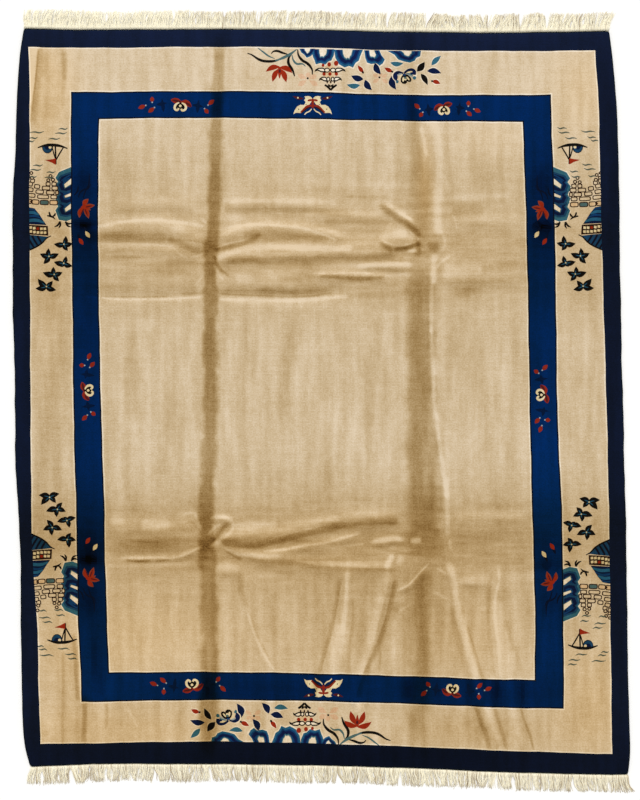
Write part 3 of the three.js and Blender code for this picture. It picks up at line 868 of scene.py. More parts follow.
heartRing = ((-2.1, -3.9), (-3.7, -4.7), (-5.7, -4.5), (-6.6, -2.5), (-5.7, 0.1), (-3.1, 2.5), (0.3, 3.9),
             (3.3, 1.9), (4.8, -1.1), (4.7, -4.5), (2.7, -6.5), (0.1, -6.7), (-1.7, -5.5))
peonyStrokes = rows(("dye", "wide", "points"), [
    ("pale", 22, ((-10, -0.5), (-9.6, 5.2), (-4, 7), (1.2, 5))),
    ("pale", 23, ((8.6, -3.6), (11, 0), (10, 4), (2.6, 4.6))),
    ("indigo", 15, ((-10.2, 2.6), (-9.7, 6), (-6.6, 7.6), (-2.6, 6.8), (1.3, 4.4))),
    ("marine", 15, ((-9.6, 3.2), (-8, 4.6), (-5, 5.4))),
    ("ivory", 6.5, ((-7.4, 6), (-4.2, 5.6), (-1, 4.4))),
    ("frost", 8, ((-8.2, 0), (-5.4, 2.2), (-1.6, 3.6))),
    ("teal", 4.5, ((-8, 2), (-4.4, 3.7), (-0.6, 4.2))),
    ("teal", 15, ((-11.2, -0.8), (-9.6, -0.4), (-8.2, 0.6))),
    ("indigo", 14, ((8.6, -3.4), (11, -0.4), (10.6, 3), (7.2, 5), (2, 4.2))),
    ("marine", 17, ((9, -2), (9.8, 0.6), (8.8, 3))),
    ("frost", 6, ((8.4, 2), (6, 3.2), (3.2, 3.6))),
    ("ivory", 7, ((6.2, -2.8), (5.4, 0.4), (3.6, 2.6))),
    ("teal", 14, ((7, -4.8), (8.2, -4.4), (9.2, -3.6))),
])


def paintPeony(at):
    # open flower from the side: bowed petals with pale slits to either hand of a dark heart, pale inside
    for stroke in peonyStrokes:
        paint(stroke["dye"], ribbon(np.array(stroke["points"]) + at, stroke["wide"], 0.5, 0.5))
    paint("ink", onPlan(np.array(heartRing) + at))
    for dye, dx, dy, wide, tall, turn in (
        ("ivory", -2.9, -1, 6.5, 19, 40),
        ("ivory", 2, -2, 9, 20, -8),
        ("ivory", -0.2, -1.8, 10, 10, 0),
        ("slate", 0, -0.4, 12, 9, 0),
        ("royal", 1, 2.8, 14, 9, 0),
    ):
        paint(dye, oval((at[0] + dx, at[1] + dy), wide, tall, turn, steps=12))


def eave(at, half, cells):
    # one roof of the pagoda, in pixels to either hand: a sloping cell with a curled tip and a round cell
    # inside it, each pale with a dark outline
    outer = ((0.28, -2.6), (0.55, -2), (0.82, -0.4), (1.0, -1.6), (0.95, 0.8), (0.74, 2.6), (0.46, 2.9),
             (0.28, 1.2))
    hollow = ((0.38, -0.8), (0.54, -0.7), (0.78, 1), (0.64, 1.5), (0.46, 1.5), (0.37, 0.6))
    for side in (-1, 1):
        for dye, ring in (("ink", outer), ("pale", hollow)):
            paint(dye, onPlan(np.array(ring) * [side * half, 1] + at))
        inner = (at[0] + side * half * 0.19, at[1] + 0.2)
        paint("ink", oval(inner, cells, 21, steps=12))
        paint("pale", oval(inner, cells - 9, 12, steps=10))


def paintPagoda(at):
    # three roofs that widen downwards, with red posts between them and red fruit at the foot
    x, y = at
    paint("blush", oval((x + 1, y + 19), 56, 56))
    for side in (-1, 1):
        ridge = ((x, y + 0.2), (x + side * 2.6, y + 3.2), (x + side * 6.2, y + 5.6))
        paint("ink", ribbon(ridge, 9.5, 0.8, 0.8))
        lower = ((x, y + 3.8), (x + side * 1.2, y + 4.7), (x + side * 2.8, y + 5.9))
        paint("ink", ribbon(lower, 7.5, 0.8))
    for dx in (-3.8, 0, 3.6):
        paint("brown", oval((x + dx, y + 8.6), 7, 13, steps=10))
    eave((x + 0.3, y + 11.2), 12, 17)
    for dx in (-5.8, 0.8, 6.9):
        paint("red", oval((x + dx, y + 16.7), 14.5, 15))
    eave((x + 0.7, y + 20.4), 16.2, 26)
    for dx, dy, size in ((-5.6, 27.6, 19), (1.6, 26.4, 16), (8, 25.6, 12)):
        paint("red", oval((x + dx, y + dy), size, size * 1.15))


def paintBlossom(at, size):
    # pale blossom of five pointed petals, hardly darker than the ground
    x, y = at
    for turn, reach in ((32, 1.15), (148, 1.15), (205, 0.95), (335, 1.1), (268, 0.7)):
        along = size * reach * np.array([np.cos(np.radians(turn)), -np.sin(np.radians(turn))])
        paint("pink", blade((x, y) + 0.1 * along, (x, y) + along, 2.1 * size, 0, 0.6))


def paintCluster():
    # blossoms and rocks, then leaves with a pale edge, the peony, bud tips, the pagoda, stems and the lotus
    for at, size in cluster["blossoms"]:
        paintBlossom(at, size)
    paintRocks()
    for leaf in clusterLeaves:
        paint("pale", blade(leaf["root"], leaf["tip"], leaf["wide"] + cluster["leafHalo"], leaf["bow"]))
        paint(leaf["dye"], blade(leaf["root"], leaf["tip"], leaf["wide"], leaf["bow"]))
    paint("ink", ribbon(cluster["peonyStalk"], 4.5))
    paintPeony(cluster["peony"])
    for root, tip in budTips:
        paint("ink", blade(root, tip, 9, 0, 0.6))
    for dot in cluster["blossomDots"]:
        paint("ink", oval(dot, 9, 9, steps=8))
    paintPagoda(cluster["pagoda"])
    for stem in clusterStems:
        paint(stem["dye"], ribbon(stem["points"], stem["wide"], 0.35, 0.35))
    for petal in lotusPetals:
        paint("red", blade(petal["root"], petal["tip"], petal["wide"], petal["bow"], 0.5))
    paint("red", oval(cluster["lotusFoot"], 16, 18))
    paint("maroon", oval(cluster["lotusHeart"], 10, 15))


# Lake scene of the side borders: swallows, a pavilion on a hill, rocks, a bridge, water and a boat
swallows = rows(("at", "tips"), [
    ((589.1, 502.1), ((-8.8, -3.2), (9.8, -1.8), (7.6, 6.8), (-5.6, 5))),
    ((581.3, 514.2), ((-7.4, 2), (10.2, 1.8), (-4.4, -6.2), (0.6, 6.8))),
    ((571.8, 525.4), ((-8, -2.6), (8.8, 1.2), (3, -3.4), (-2.2, 6.4))),
    ((586.5, 532.3), ((-8.8, 2.4), (8.2, 2.4), (5, -6.8), (0.2, 7.2))),
    ((571.6, 544.4), ((-8, 0.8), (9, 0.2), (-3.6, -6), (-1.8, 7.4))),
])


wing = {
    "wide": 1.7, "least": 7.5, "lift": 0.42, "inward": 0.15, "outward": 1.12, "belly": 0.46, "veinSag": 0.4,
}


def paintSwallows():
    # four bowed, pointed wings about a small pale breast, each with a lighter vein
    for bird in swallows:
        at = np.array(bird["at"])
        for tip in np.array(bird["tips"]):
            length = np.hypot(*tip)
            lift = (wing["lift"] if tip[0] > 0 else -wing["lift"]) * length
            root, end = at - wing["inward"] * tip, at + wing["outward"] * tip
            paint("ink", blade(root, end, wing["wide"] * length + wing["least"], lift, wing["belly"]))
        paint("ink", oval(at, 18, 17))
        for tip in np.array(bird["tips"]):
            vein = [at, *(at + share * tip - [0, wing["veinSag"]] for share in (0.28, 0.55))]
            paint("steel", ribbon(vein, 3.2, 0.8, 0.3))
        paint("slate", oval(at, 9, 9, steps=8))
        paint("ivory", oval(at, 5.5, 5.5, steps=6))


def paintPavilion():
    # roof with a swept eave and tile ridges, windows in a dark wall, and striped ground below
    roof = ((586, 554.9), (590.2, 552.6), (594.6, 548), (600.4, 544), (611, 539.2))
    eaves = onPlan(((611, 556.2), (600, 555.2), (590, 554)))
    paint("roof", np.vstack([smoothPath(onPlan(roof), 16), eaves]))
    for x, y, drop in ((595.6, 548, 6.8), (599.4, 545.4, 9.6), (603.2, 543.4, 12), (607.4, 541.6, 6.4)):
        ridge = ((x, y), (x + 0.34 * drop, y + 0.55 * drop), (x + 0.58 * drop, y + drop))
        paint("indigo", ribbon(ridge, 9, 0.8, 1))
        paint("ink", ribbon(ridge, 4.5, 0.8, 0.8))
    paint("ink", ribbon(roof, 6.5, 0.6, 1))
    paint("brown", onPlan(((588.6, 555), (611, 556.4), (611, 566.2), (589.2, 564.8))))
    pane = np.array([(-1.4, -1), (1.2, -1.4), (1.4, 1.1), (-1.2, 1.4)])
    for x, y, lower in (
        (592, 558, "ivory"),
        (595.4, 558, "ivory"),
        (599, 558.2, "red"),
        (602.6, 558.6, "ivory"),
        (606.2, 559.2, "ivory"),
        (609.6, 559.8, "ivory"),
    ):
        paint("ivory", onPlan((x, y) + pane))
        paint(lower, onPlan((x + 0.2, y + 3.9) + pane))
    ground = ((590.5, 565.6), (611, 566.6), (611, 584), (602.6, 582.4), (597.6, 576.4), (594, 570.6))
    paint("indigo", onPlan(ground))
    for dye, wide, points in (
        ("steel", 13, ((592.6, 568), (600, 570.4), (611, 570))),
        ("royal", 8, ((595, 572), (602, 574.8), (611, 574))),
        ("steel", 12, ((597.8, 575.8), (604, 578.2), (611, 577.8))),
        ("royal", 7, ((601, 580.2), (606, 581.8), (611, 581.4))),
    ):
        paint(dye, ribbon(points, wide, 0.5, 1))


def paintShore():
    # three split rocks in one column against the blue border: cornered blocks in rings of blue round slanting
    # gaps
    block = np.array([(-6, -11), (1.6, -14), (9.4, -12.6), (12.8, -3), (9.6, 1.4), (12.2, 5), (8.6, 11),
                      (-6, 17)])
    gap = np.array([(-4.6, 5), (-4.6, -0.4), (2.4, -4.4), (3.2, -1.2)])
    middles = [np.array((567.8 + 0.3 * k, 580.8 + 12.1 * k)) for k in range(3)]
    for dye, share in (("pale", 1.07), ("teal", 1.0)):
        for at in middles:
            paint(dye, onPlan(at + share * block))
    for at, wide in zip(middles, (1.0, 0.55, 1.05)):
        for dye, share in (("roof", 0.84), ("indigo", 0.68), ("royal", 0.4)):
            paint(dye, onPlan(at + share * block * [1, 0.84]))
        paint("royal", ribbon([at + p for p in ((-6, 9.6), (0, 6.4), (6, 2.4))], 6, 0.8, 0.5))
        paint("slate", onPlan(at + 1.25 * gap * [1, wide]))
        paint("pale", onPlan(at + gap * [1, wide]))
    for points in (
        ((564.6, 560.8), (568.4, 562.4), (570.6, 566.4)),
        ((563.8, 565.2), (567.4, 564.2), (570.6, 566.4)),
        ((577.2, 559.8), (575.6, 562.8), (575.8, 566.6)),
        ((581.6, 561), (578.2, 562.8), (576, 566.6)),
        ((580.6, 568.6), (583.4, 571), (588.8, 572.4)),
        ((583.8, 571.4), (585.8, 573), (586.8, 576.2)),
        ((583.6, 571.6), (581.6, 572.6), (580.4, 574.8)),
    ):
        paint("ink", ribbon(points, 7.5, 0.3, 0.7))


# power of the stones' corners, outline across and along, and from where they sag and turn to the right
bridge = {"square": 0.45, "outline": (4.2, 4), "sagFrom": 588, "turnFrom": 592, "turn": -2, "turnGain": 60}


def paintBridge():
    # arched wall: a parapet of panels, courses of long stones that sag to the right, two piers of round
    # stones; a stone is a circle squared off by a power, pale in a brown outline
    angle = np.linspace(0, 2 * np.pi, 12, endpoint=False)
    circle = np.column_stack([np.cos(angle), np.sin(angle)])
    stone = np.sign(circle) * np.abs(circle) ** bridge["square"]

    def laid(x, y, half, tall, sag, dye):
        drop = sag * max(0, x - bridge["sagFrom"]) ** 2
        turn = bridge["turn"] - sag * bridge["turnGain"] * max(0, x - bridge["turnFrom"])
        size = np.array([half, tall])
        paint("brown", placed(stone * size, (x, y + drop), turn))
        paint(dye, placed(stone * (size - bridge["outline"]), (x, y + drop), turn))

    for x, half, dye in ((583.8, 18, "blush"), (593.2, 19, "slate"), (602, 16, "blush"), (609, 14, "blush")):
        laid(x, 586.4, half, 11, 0.003, dye)
    paint("brown", oval((606.4, 587.6), 10, 8, steps=8))
    courses = rows(("y", "sag", "stones"), [
        (592, 0.005, ((583.6, 3.4), (594.4, 6), (606.6, 4.6))),
        (596.4, 0.008, ((580.4, 1.8), (587.2, 4.3), (597.8, 4.2), (607.6, 3.6))),
        (600.8, 0.011, ((582.6, 3.4), (591.4, 4.3), (600.4, 3), (607.6, 3))),
        (605, 0.011, ((583.4, 2.6), (589.4, 2.4), (605, 2.4), (609.6, 1.8))),
    ])
    for course in courses:
        for x, half in course["stones"]:
            laid(x, course["y"], half * photo["mmPerPixel"] + 0.6, 9.6, course["sag"], "cream")
    leftPier = ((584.6, 609.2, 17), (589.2, 608.8, 16), (587, 613, 16))
    rightPier = ((605.4, 611.2, 17), (609.4, 613.4, 16), (606.2, 616, 16), (609.8, 618, 14))
    for x, y, size in leftPier + rightPier:
        paint("brown", oval((x, y), size + 1, size, steps=10))
        paint("cream", oval((x, y), size - 8.6, size - 9, steps=8))


waterLines = [
    (580, 621.6, 9), (581.6, 616.4, 9.5), (598.6, 617, 8), (594.2, 624, 12), (592.6, 628.4, 10),
    (583, 651.2, 11), (575.4, 655, 12), (568.4, 660.6, 12), (567.6, 665, 9.5), (601, 652.6, 8),
    (597.8, 655.8, 8.6), (591.4, 661.6, 14.5),
]
waterWave = ((0, -0.4), (0.3, 1), (0.62, 0.3), (0.8, 0.4), (1, 1))


def paintWater():
    # short wavy strokes: up to a crest at a third, down to a hollow and up again
    for x, y, long in waterLines:
        paint("water", ribbon([(x + share * long, y - lift) for share, lift in waterWave], 6, 0.3, 0.3))


def paintBoat():
    # round cabin behind a bowed hull, a mast with two stays and a red pennant
    paint("ink", oval((588, 646.4), 45, 54))
    paint("roof", oval((588.2, 646), 38, 45))
    paint("indigo", oval((588, 647.4), 27, 32))
    paint("ivory", oval((585.4, 646), 12, 12, steps=10))
    paint("cream", onPlan(((572, 648.4), (582, 649), (595, 648), (595, 653.4), (572, 653.4))))
    paint("ink", ribbon(((568, 644.8), (574, 647), (581, 648.2), (590, 648), (597.8, 645.6)), 12, 0.35, 0.35))
    paint("ink", ribbon(((579.6, 629), (579.9, 638), (580.2, 647.6)), 6.6, 0.9, 0.9))
    paint("ink", ribbon(((579.4, 633.4), (576, 639.6), (572, 646)), 6, 0.8, 0.8))
    paint("ink", ribbon(((580, 634), (581.8, 640), (583, 645)), 5, 0.8, 0.8))
    paint("red", onPlan(((579.8, 628.4), (584, 630.8), (590.6, 633.2), (584, 634), (579.8, 634.8))))


# The lower right lake is drawn, and the other three are it mirrored, with each group moved by a few pixels
lakeGroups = [paintSwallows, paintShore, paintPavilion, paintBridge, paintWater, paintBoat]
lakeMiddle = (319.75, 396.5)
lakeCopies = rows(("signs", "moves"), [
    ((1, 1), ((0, 0), (0, 0), (0, 0), (0, 0), (0, 0), (0, 0))),
    ((-1, 1), ((-0.8, -4.8), (2.2, -5.5), (1.2, -5.8), (4.2, -5.6), (5.5, -5.8), (5.5, -5.8))),
    ((1, -1), ((-6, -4.8), (-10.4, -4.6), (-7.5, -3.4), (-9.5, -2), (-10.4, -0.4), (-10.4, 0))),
    ((-1, -1), ((-4, -4.4), (-3.6, -5), (-2.5, -2.3), (-2, -4), (-4, 0.3), (-4, 0.3))),
])


def paintLakes():
    # each group is drawn once, taken up again and laid down four times
    middle = onPlan(lakeMiddle)
    for number, draw in enumerate(lakeGroups):
        group = paintedBy("cream", draw)
        del ornaments["cream"][-len(group) :]
        for copy in lakeCopies:
            move = np.array(copy["moves"][number]) * [photo["mmPerPixel"], -photo["mmPerPixel"]]
            for dye, ring in group:
                paint(dye, middle + (ring - middle) * copy["signs"] + move)


# Flowers of the blue border: a curled cream heart on red petals, buds with pale tips and dark foliage
sprayBuds = [
    ((-42.2, -2.8), (-34.5, 0.4)), ((-32, -7.3), (-25.8, -1.9)), ((-28.4, 9.7), (-28.1, 3.6)),
    ((28, -8.3), (24.2, -3.1)), ((33.8, 6.5), (27.7, 0.7)),
]
sprayLeaves = [
    ((-16.6, -7), (-18.4, 8)), ((16.8, -8), (18.6, 7)), ((-24, 1), (-13, 3)), ((12, 1), (23, -1)),
]
heartArms = [
    ((-1.5, -2.7), (-2.5, -4.3), (-4, -4.7), (-5.5, -3.1), (-5.5, -0.8), (-4, 1.7), (-1.2, 3.4)),
    ((0.9, -3.3), (1.6, -4.9), (3.3, -5.1), (5.2, -3.5), (5.6, -1.4), (4.3, 1.2), (1.4, 3.1)),
]
sprayPetals = [
    ((-9.2, 5.8), (-8, 6), (-4.6, 5.4), (0.8, 4)),
    ((0.4, 3.8), (5.4, 3.4), (9.4, 0.4), (10.6, -1.4)),
]
sprays = rows(("at", "along", "across"), [
    ((192, 685), (1, 0), (0, 1)),
    ((452.5, 690), (-0.93, 0), (0, 0.97)),
    ((180.3, 105.7), (1, 0), (0, -0.93)),
    ((443.9, 109.4), (-0.87, 0), (0, -0.9)),
    ((88, 390.4), (0, 0.89), (-0.92, 0)),
    ((541.6, 394.9), (0, -0.89), (0.92, 0)),
])


def paintSpray(spray):
    # one flower between buds and leaves, drawn out along the border it stands in
    spots = spotsAbout(spray["at"], spray["along"], spray["across"])
    for root, tip in sprayLeaves:
        paintBlue("dusk", blade(spots(root), spots(tip), 15))
    for tail, head in sprayBuds:
        paintBlue("madder", blade(spots(tail), spots(head), 17, 0, 0.48))
        paintBlue("frost", oval(spots(head), 6.5, 6.5, steps=7))
    for petal in sprayPetals:
        paintBlue("madder", ribbon(spots(petal), 22, 0.3, 0.3))
        paintBlue("maroon", ribbon(spots(petal[1:]), 9, 0.5, 0.6))
    paintBlue("ink", oval(spots((0.1, -0.6)), 36, 30))
    for arm in heartArms:
        paintBlue("ivory", ribbon(spots(arm), 9.4, 0.8, 0.5))
    paintBlue("ivory", oval(spots((0, -0.2)), 11, 11, steps=9))


butterflyWing = ((0.6, 5), (3, 1.4), (7, -3.4), (12, -7.4), (17, -7.2), (19.4, -8.6), (18, -4.6), (15.6, -1),
                 (12.4, 0.8), (8.6, 0.6), (7, 3.6), (8.6, 5.4), (7.2, 7.6), (8.4, 9), (5, 9.6), (2.6, 9.2),
                 (0.6, 7.6))


def paintButterfly(at):
    # spread wings from above: each side a fore wing and a scalloped hind wing, red bars, feelers and a bud
    # sprig
    for side in (-1, 1):
        spots = spotsAbout(at, (side, 0), (0, 1))
        paintBlue("ivory", onPlan(spots(butterflyWing)))
        paintBlue("madder", ribbon(spots(((0.6, 0.2), (5, -0.6), (9, -4.2), (12, -7))), 10, 0.6, 0.7))
        paintBlue("brown", ribbon(spots(((1, -1.6), (5, -2.4), (9, -5.4), (11, -7.2))), 5, 0.6, 0.7))
        paintBlue("madder", oval(spots((2.8, 5.4)), 20, 9, side * 12))
        paintBlue("brown", oval(spots((14, -3.6)), 5, 5, steps=7))
        paintBlue("brown", oval(spots((6.6, 1.2)), 4, 4, steps=7))
        paintBlue("ivory", ribbon(spots(((1, -3.2), (3.2, -5.6), (6.4, -7.2), (8.2, -9.2))), 4.6, 0.8, 0.8))
        paintBlue("maroon", blade(spots((9, 7)), spots((20, 9.6)), 12, side * 3))
        paintBlue("ivory", oval(spots((14.8, 7.8)), 7, 7, steps=8))
    paintBlue("madder", ribbon(spots(((0, 0), (0, 2), (0, 7))), 11, 0.6, 0.5))
    paintBlue("madder", oval(spots((0, -0.6)), 11, 16))


blueLotusPetals = rows(("root", "tip", "wide", "bow"), [
    ((0.8, 0.4), (-4.4, -11.2), 18, 3),
    ((2.6, 0.2), (5, -10.4), 16, -3),
    ((0, 0.4), (-6.6, -2.8), 9, 0),
    ((1, 1.6), (-10.6, 2.2), 16, -2),
    ((1.4, 1.2), (-4.2, 8.6), 18, 3),
])
blueLotusStems = [
    ((1, 9), (-1, 16), (-4.5, 23), (-5, 34)),
    ((6, 10), (4, 15), (0, 18), (-4, 19), (-6.6, 24)),
    ((10, 12), (7, 16), (6, 22)),
]


blueLotuses = rows(("at", "across", "along", "buds"), [
    ((89.3, 578.4), -1, 1, (("ivory", (95, 547)), ("red", (87.7, 540.6)))),
    ((551.1, 582.4), 1, 1, (("ivory", (544.2, 554.2)), ("red", (552.4, 546.4)))),
    ((84.3, 207.4), -1, -1, (("ivory", (87.4, 234.6)), ("red", (80.9, 241.6)))),
    ((542, 209.2), 1, -1, (("ivory", (537, 234.6)), ("red", (544.8, 241.6)))),
])


def paintBlueLotus(lotus):
    # ragged red lotus seen from the side, mirrored by the signs, over thin dark stems; a red and a cream bud
    # above it
    directions = (lotus["across"], 0), (0, lotus["along"])
    hand = lotus["across"] * lotus["along"]
    spots = spotsAbout(lotus["at"], *directions)
    for stem in blueLotusStems:
        paintBlue("shade", ribbon(spots(stem), 6.5, 0.5, 0.3))
    for dye, grow, share in (("rose", 2.5, 1.0), ("red", -2.5, 0.9)):
        for petal in blueLotusPetals:
            root, tip = spots(petal["root"]), spots(share * np.array(petal["tip"]))
            paintBlue(dye, blade(root, tip, petal["wide"] + grow, petal["bow"] * hand, 0.5))
    paintBlue("red", oval(spots((1.4, -0.6)), 17, 25, -30 * hand))
    for petal in blueLotusPetals[::3] + blueLotusPetals[1:2]:
        vein = spots([share * np.array(petal["tip"]) for share in (0.15, 0.45, 0.75)])
        paintBlue("maroon", ribbon(vein, 4.5, 0.8, 0.3))
    for dye, place in lotus["buds"]:
        around = spotsAbout(place, *directions)
        paintBlue("shade", blade(place, around((3.4, 8)), 13))
        paintBlue(dye, blade(around((-2.4, -3.2)), around((2, 3.4)), 16, 0, 0.5))


butterfly = {"at": (323.5, 687.6), "turnAbout": (318.1, 396.6)}
# drawn in towards its right end
farCluster = {"turnAbout": (315.7, 397), "corner": (440, 48), "weave": (0.967, 0.98)}


def paintOrnaments():
    # cluster, butterfly and their copies turned half round, and between them the lakes, sprays and lotuses
    corner = onPlan(farCluster["corner"])
    for dye, ring in paintedBy("cream", paintCluster):
        turned = halfTurned(ring, farCluster["turnAbout"])
        paint(dye, corner + (turned - corner) * farCluster["weave"])
    paintLakes()
    for spray in sprays:
        paintSpray(spray)
    for dye, ring in paintedBy("blue", paintButterfly, butterfly["at"]):
        paintBlue(dye, halfTurned(ring, butterfly["turnAbout"]))
    for lotus in blueLotuses:
        paintBlueLotus(lotus)


paintOrnaments()
print("ornaments:", {ground: len(rings) for ground, rings in ornaments.items()}, "outlines")


# The pile: one net of triangles over the outline, with every border line and ornament edge as edges of the
# net
gridZones = {
    "across": [(-1230, 40), (-880, 24), (-500, 14), (-390, 9), (260, 13), (540, 8.5), (860, 15), (1250, 40)],
    "along": [(-1510, 30), (-1180, 26), (-800, 20), (-450, 9), (350, 24), (830, 9), (1130, 20), (1510, 30)],
}


def gridStops(zones):
    # lines of a graded grid: each zone runs from the stop before it in even steps of about its own size
    stops = [zones[0][0]]
    for to, step in zones[1:]:
        count = max(1, int(round((to - stops[-1]) / step)))
        stops += np.linspace(stops[-1], to, count + 1)[1:].tolist()
    return np.array(stops)


def offsetOutline(ring, inset):
    # outline drawn in along its normals
    return ring + leftOf(np.roll(ring, -1, 0) - np.roll(ring, 1, 0), inset)


def insideRing(points, ring):
    # even-odd rule: how many edges a ray to the right crosses
    a, b = ring, np.roll(ring, -1, 0)
    x, y = points[:, :1], points[:, 1:]
    spans = (a[:, 1] > y) != (b[:, 1] > y)
    rise = np.where(b[:, 1] == a[:, 1], 1e-9, b[:, 1] - a[:, 1])
    crossing = x < (b[:, 0] - a[:, 0]) * (y - a[:, 1]) / rise + a[:, 0]
    return (spans & crossing).sum(1) % 2 == 1


def triangleNet(rings, loose):
    # Delaunay triangles inside the first ring, keeping all rings as edges; also where that ring's points went
    points = np.vstack([*rings, loose])
    edges, first = [], 0
    for ring in rings:
        at = np.arange(len(ring))
        edges.append(np.column_stack([first + at, first + (at + 1) % len(ring)]))
        first += len(ring)
    insideOnly, weld = 1, 1e-3
    made = delaunay_2d_cdt(points.tolist(), np.vstack(edges).tolist(), [], insideOnly, weld)
    places = np.array([p[:] for p in made[0]])
    went = np.full(len(points), -1)
    for new, olds in enumerate(made[3]):
        went[list(olds)] = new
    return places, np.array(made[2]), went[: len(rings[0])]


bandEdge = 6.0  # dark outline along both edges of the blue border
paleEdge = 5.0  # clipped edge of the cream beside a dark border
selvedgeWidth = 6.0
bandLines = (  # from the outside in: where each dye of the borders begins
    ("guard", 0, "pale"),
    ("guard", paleEdge, "cream"),
    ("blue", -paleEdge, "pale"),
    ("blue", 0, "blueEdge"),
    ("blue", bandEdge, "blue"),
    ("field", -bandEdge, "blueEdge"),
    ("field", 0, "pale"),
    ("field", paleEdge, "cream"),
)
grounds = {"cream": ("cream", "pale"), "blue": ("blue", "blueEdge")}
dyeNumber = {name: number for number, name in enumerate(dyes)}


def dyeOf(points, motifs, fine):
    # number of the dye at each point: the borders from the outside in, with their thin edge lines if fine is
    # 1 and not if it is 0, then the ornaments, each on its own ground
    found = np.full(len(points), dyeNumber["navy"])
    found[insetOf(points) < selvedgeWidth] = dyeNumber["selvedge"]
    for band, margin, dye in bandLines:
        found[insideBand(band, points, margin * fine)] = dyeNumber[dye]
    shows = {ground: np.isin(found, [dyeNumber[dye] for dye in shades]) for ground, shades in grounds.items()}
    for ground in grounds:
        for dye, ring in motifs[ground]:
            inBox = ((points >= ring.min(0)) & (points <= ring.max(0))).all(1)
            near = np.flatnonzero(shows[ground] & inBox)
            if len(near):
                found[near[insideRing(points[near], ring)]] = dyeNumber[dye]
    return found


def newMesh(name, points, faces, material):
    # mesh object at the origin with its place in its vertices, smooth all over
    mesh = bpy.data.meshes.new(name)
    mesh.from_pydata(points.tolist(), [], faces)
    mesh.materials.append(material)
    mesh.polygons.foreach_set("use_smooth", np.ones(len(mesh.polygons), bool))
    piece = bpy.data.objects.new(name, mesh)
    bpy.context.collection.objects.link(piece)
    return piece


def addValues(piece, name, values, kind="FLOAT", domain="POINT", field="value"):
    # values that the materials read by name, on points unless said otherwise
    attribute = piece.data.attributes.new(name, kind, domain)
    attribute.data.foreach_set(field, np.ascontiguousarray(values, np.float32).ravel())


pileBox = np.array(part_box("pile"))
planShift = (pileBox[0] + pileBox[1])[:2] / 2 * 1000 - (outline.min(0) + outline.max(0)) / 2


def toFrame(points, height):
    # plan millimetres and heights to metres in the shared frame
    return np.column_stack([points + planShift, height]) / 1000


# loose points of the net: mm kept clear of the outline, and how few of them the back has; drawn-in outlines
# of the rounded rim, and of the foot under it; the back's tone, and the least size of the ornaments that show
# there
pileNet = {
    "clear": 24, "backEvery": 7, "rims": (1.5, 5, 14), "foot": 1.0, "backTone": 0.8, "backDetail": 42.0,
    "crisp": 60,  # degrees from which an edge isn't smoothed
}
# shares of the bake's sides: the face on most of it, the back beside it, narrower and mirrored, and the rim
# as one strip
bakeMap = {"face": (0.004, 0.744), "back": (0.972, 0.756), "rim": (0.98, 0.996), "along": (0.004, 0.996)}


def pileNets(backMotifs):
    # nets of the face and of the knotted back, which has only the wide borders and the larger ornaments
    gx, gy = np.meshgrid(gridStops(gridZones["across"]), gridStops(gridZones["along"]))
    grid = np.column_stack([gx.ravel(), gy.ravel()])
    face = [outline, *(offsetOutline(outline, inset) for inset in pileNet["rims"])]
    face += [bandRing(band, margin) for band, margin, _ in bandLines]
    back = [offsetOutline(outline, pileNet["foot"]), *(bandRing(band) for band in ("guard", "blue", "field"))]
    nets = []
    for rings, motifs, loose in (
        (face, ornaments, np.vstack([grid, creasePoints()])),
        (back, backMotifs, grid[:: pileNet["backEvery"]]),
    ):
        rings += [ring for pairs in motifs.values() for _, ring in pairs]
        nets.append(triangleNet(rings, loose[insetOf(loose) > pileNet["clear"]]))
    return nets


def bakeCorners(top, topFaces, under, underFaces, around):
    # place on the bake's map of every face's corners, in the order of the faces
    def spread(points, across):
        low, high = np.array([across, bakeMap["along"]]).T
        return low + (high - low) * (points - points.min(0)) / np.ptp(points, axis=0)

    n = len(around)
    inner, outer = bakeMap["rim"]
    start, end = np.interp(np.stack([around, around + 1]), (0, n), bakeMap["along"])
    sides = ((inner, start), (inner, end), (outer, end), (outer, start))
    strip = np.stack([np.stack([np.full(n, u), v], -1) for u, v in sides], 1)
    face, back = spread(top, bakeMap["face"])[topFaces], spread(under, bakeMap["back"])[underFaces[:, ::-1]]
    return np.vstack([face, strip[:, [0, 1, 2]], strip[:, [0, 2, 3]], back])


